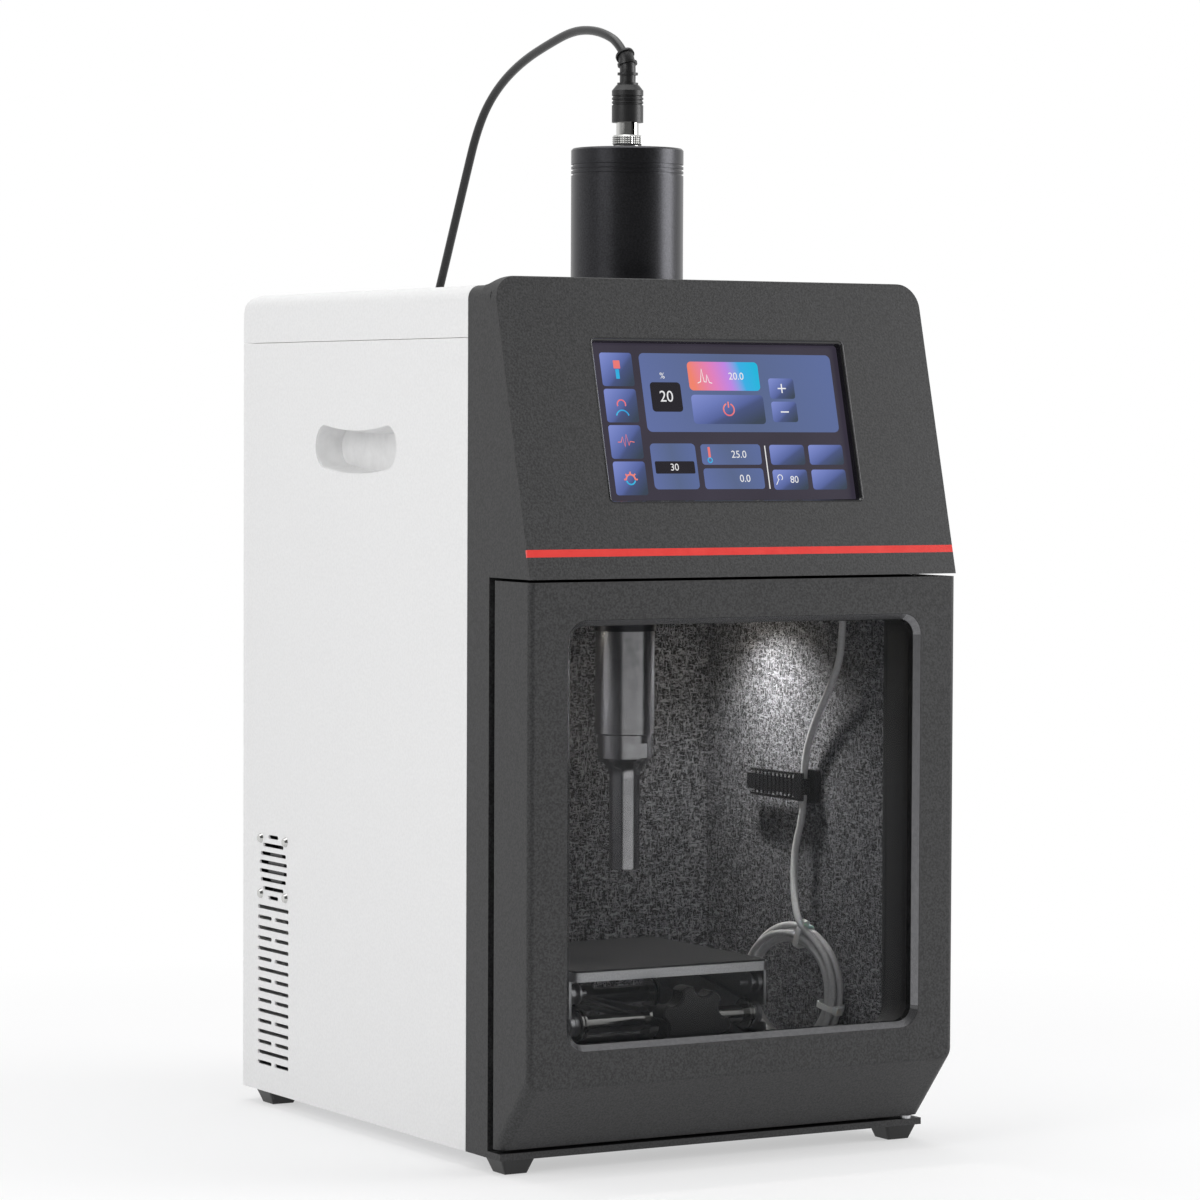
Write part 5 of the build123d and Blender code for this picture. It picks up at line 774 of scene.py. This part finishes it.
# %% [markdown]
# A lit display gives its own light, so each of its finishes glows as strongly as the
# colour is written. The tiles fade from their upper left corner to the lower right, with
# faint slanting bands; the pattern follows each plate's own UV map.

# %% How a display glows
GLOW = 0.85


def display_finish(name, hex_value):
    """Lit display colour under smooth glass."""
    material = new_finish(name, "0A0A0C", 0.2, Emission_Strength=GLOW, Specular_IOR_Level=0.3)
    shader_of(material).inputs["Emission Color"].default_value = colour(hex_value)
    return material


def glow_ramp(material, factor, *stops):
    """Colour of the glow from (position, hex value) stops; the glass over it stays black."""
    linear_stops = [(position, colour(hex_value)) for position, hex_value in stops]
    plug_in(material, ramp(material, factor, linear_stops), "Emission Color")


def slanted(material, direction):
    """Distance across a plate along one direction of its UV map, from 0 to 1."""
    flat = add_node(material, "ShaderNodeTexCoord").outputs["UV"]
    along = add_node(
        material, "ShaderNodeVectorMath", {0: flat, 1: direction}, operation="DOT_PRODUCT"
    )
    low = sum(min(part, 0) for part in direction)
    high = sum(max(part, 0) for part in direction)
    share = add_node(
        material,
        "ShaderNodeMapRange",
        {"Value": along.outputs["Value"], "From Min": low, "From Max": high},
    )
    return share.outputs["Result"]


def wandering(material, scale):
    """Soft noise over the whole screen, so that an even colour isn't quite flat."""
    cloud = add_node(
        material, "ShaderNodeTexNoise", {"Vector": place(material), "Scale": scale}
    )
    return cloud.outputs["Fac"]


# %% Finishes of the display
page_violet = display_finish("display_violet_page", "3A3542")
glow_ramp(page_violet, wandering(page_violet, 25.0), (0.3, "37323F"), (0.7, "3D3846"))

panel_blue = display_finish("display_blue_panel", "6A7CB0")
panel_share = slanted(panel_blue, (0.9, 0.1, 0))
glow_ramp(panel_blue, panel_share, (0.0, "6474AC"), (0.5, "5A6A92"), (1.0, "5E70A6"))

tile_blue = display_finish("display_shaded_tile", "7F8FD0")
glow_ramp(
    tile_blue,
    slanted(tile_blue, (0.55, -0.45, 0)),
    (0.0, "8896DC"),
    (0.3, "7080C4"),
    (0.52, "5868A6"),
    (0.6, "475584"),
    (0.9, "374456"),
)

field_dark = display_finish("display_dark_field", "2A2530")
glow_ramp(field_dark, wandering(field_dark, 40.0), (0.3, "18141C"), (0.7, "1D1922"))

rainbow = display_finish("display_rainbow_field", "C080E0")
glow_ramp(
    rainbow,
    slanted(rainbow, (0.92, 0.08, 0)),
    (0.08, "FF8A73"),
    (0.36, "EE86C8"),
    (0.56, "C98CF0"),
    (0.74, "35B8F2"),
    (0.95, "0CC0E8"),
)


def icon_finish(name, dark, light):
    """Line colour of the icons with a faint change along the screen."""
    material = display_finish(name, light)
    glow_ramp(material, wandering(material, 60.0), (0.35, dark), (0.65, light))
    return material


icon_white = icon_finish("display_white_lines", "F4F4F6", "FFFFFF")
icon_coral = icon_finish("display_coral_lines", "F2707F", "FF8E78")
icon_cyan = icon_finish("display_cyan_lines", "27A6E8", "35C8F0")
show_finishes("fields", page_violet, panel_blue, tile_blue, field_dark, rainbow)
show_finishes("icons", icon_white, icon_coral, icon_cyan)

# %% [markdown]
# The page is laid from the back to the front. Each plate is given by its left, lower,
# right and upper edge in millimetres from the glass's middle, and by its layer.

# %% The page, its panels and tiles
TILE_LEFT, TILE_RIGHT = -75.0, -55.5
TILE_BOTTOMS = (19.6, -0.1, -19.8, -39.5)
TILE_HEIGHT = 18.2
KEY_LEFTS, KEY_BOTTOMS = (23.2, 47.9), (-23.2, -36.9)
KEY_WIDTH, KEY_HEIGHT = 21.8, 11.0

page = [screen_plate(-77.6, -43.2, 77.6, 43.2, 0, corner=2.0)]
join_on_glass("screen_page", page, page_violet)

panels = [
    screen_plate(-51.1, -5.2, 69.3, 37.8, 1, corner=3.0),
    screen_plate(-51.1, -36.4, -23.3, -11.5, 1, corner=2.4),
    screen_plate(-19.9, -23.1, 17.4, -11.9, 1, corner=1.8),
    screen_plate(-19.9, -36.4, 17.4, -25.1, 1, corner=1.8),
]
join_on_glass("screen_panels", panels, panel_blue)

tiles = [screen_plate(TILE_LEFT, low, TILE_RIGHT, low + TILE_HEIGHT, 1) for low in TILE_BOTTOMS]
tiles += [
    screen_plate(left, low, left + KEY_WIDTH, low + KEY_HEIGHT, 1)
    for left in KEY_LEFTS
    for low in KEY_BOTTOMS
]
tiles += [
    screen_plate(-21.8, -0.8, 23.3, 15.2, 2, corner=2.2),
    screen_plate(28.0, 13.3, 43.9, 24.6, 2),
    screen_plate(28.0, 0.4, 43.9, 11.7, 2),
]
join_on_glass("screen_tiles", tiles, tile_blue)

dark_fields = [
    screen_plate(-46.4, 5.8, -27.6, 21.9, 2, corner=2.0),
    screen_plate(-49.3, -27.9, -25.0, -21.2, 2, corner=0.8),
]
join_on_glass("screen_dark_fields", dark_fields, field_dark)
rainbow_field = [screen_plate(-21.9, 17.6, 22.4, 33.4, 2, corner=2.4)]
join_on_glass("screen_frequency_field", rainbow_field, rainbow)

# %% [markdown]
# Figures show the amplitude, the frequency and the temperatures. The icons are common
# signs: a power ring, a thermometer, a pulse, a gear, and plus and minus.

# %% White figures and lines
figures = [
    screen_text("20", -37.0, 13.9, 8.6, 3),
    screen_text("%", -38.0, 25.4, 4.6, 2),
    screen_text("20.0", 8.0, 25.4, 5.6, 3),
    screen_text("30", -37.5, -24.6, 5.4, 3),
    screen_text("25.0", 3.5, -17.6, 5.6, 2),
    screen_text("0.0", 5.5, -30.8, 5.6, 2),
    screen_text("80", 36.5, -31.5, 5.4, 2),
    screen_line([(33.4, 19.0), (38.4, 19.0)], 0.7, 3),
    screen_line([(35.9, 16.5), (35.9, 21.5)], 0.7, 3),
    screen_line([(33.4, 6.0), (38.4, 6.0)], 0.7, 3),
    screen_line([(20.4, -36.4), (20.4, -12.7)], 0.6, 1),
    screen_line(
        [(-16.5, 21.6), (-14.6, 22.4), (-13.4, 29.4), (-12.4, 22.4), (-11.2, 22.2)]
        + [(-10.4, 26.2), (-9.2, 22.0), (-7.6, 21.6)],
        0.5,
        3,
    ),
    screen_line(arc(27.6, -30.2, 1.5, -60, 240), 0.45, 2),
    screen_line([(24.8, -34.2), (26.4, -31.6)], 0.45, 2),
]
join_on_glass("screen_figures", figures, icon_white)

# %% Coloured icons
TILE_X = (TILE_LEFT + TILE_RIGHT) / 2
GEAR_UP, GEAR_RADIUS, GEAR_REACH = -31.0, 2.7, 4.1
GEAR_TEETH, TOOTH_ANGLE = 5, 45
# The pulse is drawn from the middle of its tile: across, and up on the screen.
PULSE = ((-5, -10.8), (-3, -10.8), (-2, -8), (-0.8, -13.2))
PULSE += ((0.4, -6.6), (1.6, -12.6), (2.6, -10.4), (5, -10.8))

coral_lines = [
    screen_line(arc(0.8, 7.2, 3.3, 115, 425, 20), 0.8, 3),
    screen_line([(0.8, 8.2), (0.8, 11.4)], 0.8, 3),
    screen_plate(TILE_X - 2.0, 29.2, TILE_X + 2.0, 33.6, 2, corner=0.3),
    screen_line(arc(TILE_X, 9.6, 2.5, -20, 200), 0.75, 2),
    screen_line([(TILE_X + across, up) for across, up in PULSE], 0.5, 2),
    screen_line(arc(TILE_X, GEAR_UP, GEAR_RADIUS, 0, 180), 0.9, 2),
    screen_plate(-15.6, -19.6, -14.2, -13.4, 2, corner=0.5),
]
for tooth in range(GEAR_TEETH):
    angle = math.radians(TOOTH_ANGLE * tooth)
    reach = (math.cos(angle), math.sin(angle))
    inner = (TILE_X + GEAR_RADIUS * reach[0], GEAR_UP + GEAR_RADIUS * reach[1])
    outer = (TILE_X + GEAR_REACH * reach[0], GEAR_UP + GEAR_REACH * reach[1])
    coral_lines.append(screen_line([inner, outer], 0.9, 2))
join_on_glass("screen_coral_icons", coral_lines, icon_coral)

cyan_lines = [
    screen_plate(TILE_X - 1.1, 23.6, TILE_X + 1.1, 28.8, 2, corner=0.3),
    screen_line(arc(TILE_X, 2.6, 3.9, 15, 165), 0.75, 2),
    screen_line(arc(TILE_X, GEAR_UP, GEAR_RADIUS, 195, 345), 0.8, 2),
    screen_line(arc(-14.9, -20.6, 1.3, 0, 360), 0.6, 2),
]
join_on_glass("screen_cyan_icons", cyan_lines, icon_cyan)

# %% [markdown]
# ## Glossy reveals
# The sloping sides of the screen's recess and of the door's window are polished in the
# mould, while the faces round them are grained. Seen from the side they mirror the
# bright room. The window's bevel also has a mid-grey metal colour where the moulding is
# black, a painted highlight. Each is a plane with round corners, inset once with depth
# for the bevel and once straight back for the reveal, with its middle face removed.

# %% Polished finishes
polished_abs = new_finish("moulded_abs_polished", "121213", 0.1, IOR=1.5, Coat_Weight=0.4)
polished_wave = grain(polished_abs, 8 * MM, 0.005 * MM)
tint(polished_abs, polished_wave, "0F0F10", "171718")

# The window's narrow bevel is polished black moulding; its mid-grey metal colour is a
# painted highlight, which shows as a bright line.
highlight_painted_bevel = new_finish("bevel_painted_highlight", "707072", 0.2, 0.9)
bevel_tone = grain(highlight_painted_bevel, 2 * MM, 0.001 * MM)
tint(highlight_painted_bevel, bevel_tone, "6A6A6C", "767678")
show_finishes("reveals", polished_abs, highlight_painted_bevel)

# %% Helpers for a reveal
# A lining is a skin of this thickness, laid this far clear of the moulding.
SKIN = 0.08
STAND_OFF = 0.06


def lining(name, width, height, corner, inward, back, frame_matrix, finish, body):
    """Ring round an opening, from its outline inwards and back, as a thin skin."""
    bpy.ops.object.select_all(action="DESELECT")
    bpy.ops.mesh.primitive_plane_add(size=1)
    ring = bpy.context.object
    bpy.ops.object.mode_set(mode="EDIT")
    bpy.ops.transform.resize(value=(width * MM, height * MM, 1))
    bpy.ops.mesh.bevel(offset=corner * MM, segments=8, affect="VERTICES")
    bpy.ops.mesh.inset(thickness=inward * MM, depth=-back * MM, use_even_offset=True)
    bpy.ops.mesh.delete(type="FACE")
    bpy.ops.object.mode_set(mode="OBJECT")
    ring.data.transform(frame_matrix)
    skin = ring.modifiers.new("skin", "SOLIDIFY")
    skin.thickness = SKIN * MM
    skin.offset = 1.0
    bpy.ops.object.modifier_apply(modifier="skin")
    return join_pieces(name, [ring], finish, body)


def reveal(name, width, height, corner, bevel, depth, frame_matrix, finish, body):
    """Bevel and black inner walls of one opening, given at its bevel's rim."""
    lining(f"{name}_bevel", width, height, corner, bevel, bevel, frame_matrix, finish, body)
    behind = frame_matrix @ Matrix.Translation((0, 0, -bevel * MM))
    inner = 2 * (bevel + SKIN)
    lining(
        f"{name}_wall",
        width - inner,
        height - inner,
        corner - bevel,
        0.0,
        depth - bevel,
        behind,
        polished_abs,
        body,
    )


# %% The screen's reveal
SCREEN_WIDE, SCREEN_HIGH = 157.5, 89.0
SCREEN_CORNER = 2.5
SCREEN_BEVEL = 1.0
reveal(
    "screen_reveal",
    SCREEN_WIDE - 2 * STAND_OFF,
    SCREEN_HIGH - 2 * STAND_OFF,
    SCREEN_CORNER,
    SCREEN_BEVEL,
    SCREEN_RECESS - 2 * STAND_OFF,
    ON_SCREEN @ Matrix.Translation((0, 0, SCREEN_RECESS * MM)),
    polished_abs,
    "cabinet",
)

# A fine polished bead runs round the mouth of the recess and catches the light.
BEAD_WIDTH = 0.9
BEAD_LEVEL = (SCREEN_RECESS - 0.1) / LAYER
half_wide = SCREEN_WIDE / 2 - SCREEN_CORNER
half_high = SCREEN_HIGH / 2 - SCREEN_CORNER
bead_points = []
for side_x, side_y, start in ((1, 1, 0), (-1, 1, 90), (-1, -1, 180), (1, -1, 270)):
    bead_points += arc(
        side_x * half_wide, side_y * half_high, SCREEN_CORNER, start, start + 90, 6
    )
bead_points.append(bead_points[0])
bead = screen_line(bead_points, BEAD_WIDTH, BEAD_LEVEL)
join_pieces("screen_bead", [bead], polished_abs, "cabinet")

# %% The window's reveal
WINDOW_LOW, WINDOW_HIGH, WINDOW_WIDE = 67.0, 291.8, 220.0
WINDOW_CORNER = 11.5
WINDOW_BEVEL = 3.0
PANE_FACE = 7.5
upright = Matrix(((1, 0, 0), (0, 0, 1), (0, -1, 0))).transposed().to_4x4()
window_centre = at(0, 2 * STAND_OFF, (WINDOW_LOW + WINDOW_HIGH) / 2)
reveal(
    "window_reveal",
    WINDOW_WIDE - 4 * STAND_OFF,
    WINDOW_HIGH - WINDOW_LOW - 4 * STAND_OFF,
    WINDOW_CORNER,
    WINDOW_BEVEL,
    PANE_FACE - 5 * STAND_OFF,
    Matrix.Translation(window_centre) @ upright,
    # The bevel's mid-grey metal colour is a painted highlight.
    highlight_painted_bevel,
    "door",
)

# %% [markdown]
# ## Knurled coupling nuts
# The nuts that hold the two plugs have a diamond knurl, pressed in by a wheel with
# crossed teeth. A ring of faces is extruded up in rows and each face is poked outwards,
# which gives the pyramids of the knurl; plain collars close it above and below.

# %% One nut
NUT_HEIGHT = 5.8
NUT_RADIUS = 8.1
NUT_CHAMFER = 0.5
NUT_COLLAR = 0.7
NUT_HOLE = 5.0
KNURL_ROWS = 4
KNURL_TEETH = 36
KNURL_RELIEF = 0.4
# A knurled face's middle lies no deeper than this under the nut's radius.
FLAT_SAG = 0.2


def knurled_nut(frame_matrix):
    """One nut that stands on the local z axis."""
    rim = NUT_RADIUS - NUT_CHAMFER
    bpy.ops.object.select_all(action="DESELECT")
    bpy.ops.mesh.primitive_circle_add(
        vertices=KNURL_TEETH, radius=rim * MM, fill_type="NOTHING"
    )
    nut = bpy.context.object
    bpy.ops.object.mode_set(mode="EDIT")
    bpy.ops.mesh.select_all(action="SELECT")
    row = (NUT_HEIGHT - 2 * NUT_COLLAR) / KNURL_ROWS * MM
    shrink = NUT_HOLE / rim
    grow = NUT_RADIUS / rim

    def raise_ring(height, scale):
        bpy.ops.mesh.extrude_region_move(TRANSFORM_OT_translate={"value": (0, 0, height)})
        bpy.ops.transform.resize(value=(scale, scale, 1), center_override=(0, 0, 0))

    raise_ring(NUT_COLLAR * MM, grow)
    for _ in range(KNURL_ROWS):
        raise_ring(row, 1.0)
    raise_ring(NUT_COLLAR * MM, 1 / grow)
    raise_ring(0.0, shrink)
    raise_ring(-NUT_HEIGHT * MM, 1.0)
    raise_ring(0.0, 1 / shrink)
    bpy.ops.mesh.select_all(action="SELECT")
    bpy.ops.mesh.remove_doubles(threshold=0.01 * MM)
    bpy.ops.mesh.normals_make_consistent(inside=False)
    bpy.ops.mesh.select_all(action="DESELECT")
    bpy.ops.object.mode_set(mode="OBJECT")
    for face in nut.data.polygons:
        middle = face.center
        outside = math.hypot(middle.x, middle.y) > (NUT_RADIUS - FLAT_SAG) * MM
        face.select = outside and NUT_COLLAR * MM < middle.z < (NUT_HEIGHT - NUT_COLLAR) * MM
    bpy.ops.object.mode_set(mode="EDIT")
    bpy.ops.mesh.poke(offset=KNURL_RELIEF * MM)
    bpy.ops.object.mode_set(mode="OBJECT")
    nut.data.transform(frame_matrix)
    return nut


# %% Both nuts in place
REAR_SOCKET_Z = 247.0
CAP_NUT_BASE = at(0, 129.0, 546.4)
REAR_NUT_BASE = at(0, 341.7, REAR_SOCKET_Z)
facing_back = Matrix(((1, 0, 0), (0, 0, -1), (0, 1, 0))).transposed().to_4x4()
nuts = [
    knurled_nut(Matrix.Translation(CAP_NUT_BASE)),
    knurled_nut(Matrix.Translation(REAR_NUT_BASE) @ facing_back),
]
coupling_nuts = join_pieces("coupling_nuts", nuts, nickel_plate, "cabinet")
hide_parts("plug_nuts")

# %% [markdown]
# ## Cables
# The transducer's cable leaves its plug upwards, arches over the roof and drops behind
# the cabinet to a second plug. A curve whose control points are the route's points gives
# the smooth line that a stiff cable takes.

# %% A cable as a curve


def cable_curve(name, points, diameter, finish):
    """Round cable that runs smoothly along its control points."""
    data = bpy.data.curves.new(name, "CURVE")
    data.dimensions = "3D"
    spline = data.splines.new("NURBS")
    spline.points.add(len(points) - 1)
    for control, point in zip(spline.points, points):
        control.co = (*point, 1)
    spline.order_u = 3
    spline.use_endpoint_u = True
    spline.resolution_u = 8
    data.bevel_depth = diameter / 2
    data.bevel_resolution = 5
    data.use_fill_caps = True
    data.materials.append(finish)
    cable = bpy.data.objects.new(name, data)
    scene.collection.objects.link(cable)
    print(name, "control points", len(points))
    return cable


# %% The transducer's cable
CABLE_DIAMETER = 5 * MM
REAR_EXIT = 392.925
# Over the roof, as depth and height.
ROOF_ROUTE = (
    (132.515, 596.685),
    (139.586, 603.756),
    (151.2, 608.9),
    (168.5, 613.0),
    (190.5, 613.8),
    (216.0, 608.8),
    (246.5, 601.2),
    (272.0, 590.6),
    (291.5, 577.0),
    (304.5, 560.5),
    (313.7, 542.6),
    (329.9, 510.4),
    (347.4, 475.3),
)
# Down behind the cabinet, as depth and height from the end of the rear plug.
REAR_ROUTE = (
    (-13.5, 167.0),
    (8.0, 121.9),
    (25.9, 81.7),
    (36.2, 53.5),
    (39.7, 33.8),
    (35.3, 17.4),
    (25.7, 5.9),
    (13.0, 0.0),
    (0.0, 0.0),
)
transducer_route = [at(0, depth, z) for depth, z in ROOF_ROUTE]
transducer_route += [at(0, REAR_EXIT + depth, REAR_SOCKET_Z + z) for depth, z in REAR_ROUTE]
transducer_lead = cable_curve("transducer_lead", transducer_route, CABLE_DIAMETER, black_sheath)
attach(transducer_lead, "cabinet")
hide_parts("transducer_cable")

# %% [markdown]
# The sensor's lead comes down the right-hand wall through a clip and is wound into a
# small coil. The turns are part of the same curve: each turn has its own radius and its
# own place across the bundle, so that they lie beside each other as a hand winds them.

# %% The coil's turns
COIL_CENTRE = at(100.8, 115.0, 76.0)
COIL_TURN = math.radians(15.0)
COIL_BACK = Vector((-math.sin(COIL_TURN), math.cos(COIL_TURN), 0))
COIL_AXIS = Vector((math.cos(COIL_TURN), math.sin(COIL_TURN), 0))
# Radius and place across the bundle where each turn starts.
TURNS = [(35.2, -2.3), (31.2, -2.9), (27.8, 0.2), (31.2, 2.7), (35.2, 2.4), (35.2, 2.9)]
POINTS_PER_TURN = 14
START_ANGLE = 62.0
LAST_ANGLE = -75.0 - 360 * 4
# A curve runs inside its control points, so they stand a little further out.
CURVE_SHRINK = 1.0 / math.cos(math.pi / POINTS_PER_TURN)


def coil_point(angle):
    """Point on the wound lead at an angle that falls from the top towards the front."""
    turned = (90.0 - angle) / 360
    index = min(int(turned), len(TURNS) - 2)
    share = min(turned - index, 1.0)
    radius = TURNS[index][0] * (1 - share) + TURNS[index + 1][0] * share
    across = TURNS[index][1] * (1 - share) + TURNS[index + 1][1] * share
    swing = math.radians(angle)
    outward = COIL_BACK * -math.cos(swing) + Vector((0, 0, math.sin(swing)))
    return COIL_CENTRE + (outward * radius * CURVE_SHRINK + COIL_AXIS * across) * MM


steps = int((START_ANGLE - LAST_ANGLE) / (360 / POINTS_PER_TURN))
coil_route = [
    coil_point(START_ANGLE - step * 360 / POINTS_PER_TURN) for step in range(steps + 1)
]
print("coil turns", round(steps / POINTS_PER_TURN, 1))

# %% The sensor's lead
LEAD_DIAMETER = 4 * MM
# Down from the grommet and through the wall clip, as across, depth and height.
WALL_ROUTE = (
    (106.0, 71.5, 288.0),
    (106.0, 71.5, 266.5),
    (107.2, 85.0, 247.5),
    (109.6, 105.5, 226.0),
    (111.5, 119.0, 204.0),
    (111.5, 119.0, 173.5),
    (109.0, 124.0, 155.0),
    (106.0, 120.5, 136.0),
    (102.5, 113.5, 124.0),
    (99.0, 103.5, 113.6),
)
# The probe's sleeve starts here from the coil's centre, and the lead runs into it
# straight over the last stretch.
SLEEVE_ACROSS, SLEEVE_BACK, SLEEVE_DROP = 7.8, 6, 34.2
RUN_IN_ACROSS, RUN_IN_BACK = 1.8, 10

sleeve_offset = COIL_AXIS * SLEEVE_ACROSS + COIL_BACK * SLEEVE_BACK
sleeve_start = COIL_CENTRE + (sleeve_offset + Vector((0, 0, -SLEEVE_DROP))) * MM
run_in = sleeve_start - (COIL_BACK * RUN_IN_BACK + COIL_AXIS * RUN_IN_ACROSS) * MM
sensor_route = [at(*point) for point in WALL_ROUTE] + coil_route + [run_in, sleeve_start]
sensor_lead = cable_curve("sensor_lead", sensor_route, LEAD_DIAMETER, grey_sheath)
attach(sensor_lead, "cabinet")
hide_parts("sensor_cable", "sensor_coil")

# %% [markdown]
# ## The wall clip's strap
# The strap that holds the sensor's lead to the wall is a releasable tie: a row of
# windows runs along its loose end and a square buckle sits where it closes. The moulded
# clip has the plain shape, so rungs and a buckle are laid on it. One rung is a cube with
# softened edges, copied along the strap.

# %% Rungs, rails and buckle
STRAP_X, STRAP_Z = 107.45, 189.0
STRAP_MIDDLE = 146.0
FIRST_RUNG, RUNG_STEP, RUNG_COUNT = 126.0, 4.2, 10
RAIL_RISE = 7.0
BUCKLE_X, BUCKLE_DEPTH = 108.2, 119.0
# Thickness, length along the strap, height and softening of one block, in millimetres.
RUNG = (0.9, 1.5, 13.0, 0.3)
RAIL = (1.0, 46.0, 1.6, 0.3)
BUCKLE = (1.6, 9.0, 16.0, 0.5)


def softened_block(x, depth, z, thick, long, high, soft):
    """Block of a real size at a place, with its edges bevelled."""
    bpy.ops.object.select_all(action="DESELECT")
    bpy.ops.mesh.primitive_cube_add(size=1)
    block = bpy.context.object
    bpy.ops.object.mode_set(mode="EDIT")
    bpy.ops.transform.resize(value=(thick * MM, long * MM, high * MM))
    bpy.ops.mesh.bevel(offset=soft * MM, segments=2, affect="EDGES")
    bpy.ops.object.mode_set(mode="OBJECT")
    block.data.transform(Matrix.Translation(at(x, depth, z)))
    return block


strap_parts = [
    softened_block(STRAP_X, FIRST_RUNG + RUNG_STEP * step, STRAP_Z, *RUNG)
    for step in range(RUNG_COUNT)
]
strap_parts += [
    softened_block(STRAP_X, STRAP_MIDDLE, STRAP_Z + RAIL_RISE, *RAIL),
    softened_block(STRAP_X, STRAP_MIDDLE, STRAP_Z - RAIL_RISE, *RAIL),
    softened_block(BUCKLE_X, BUCKLE_DEPTH, STRAP_Z, *BUCKLE),
]
join_pieces("strap_ladder", strap_parts, moulded_nylon, "cabinet")
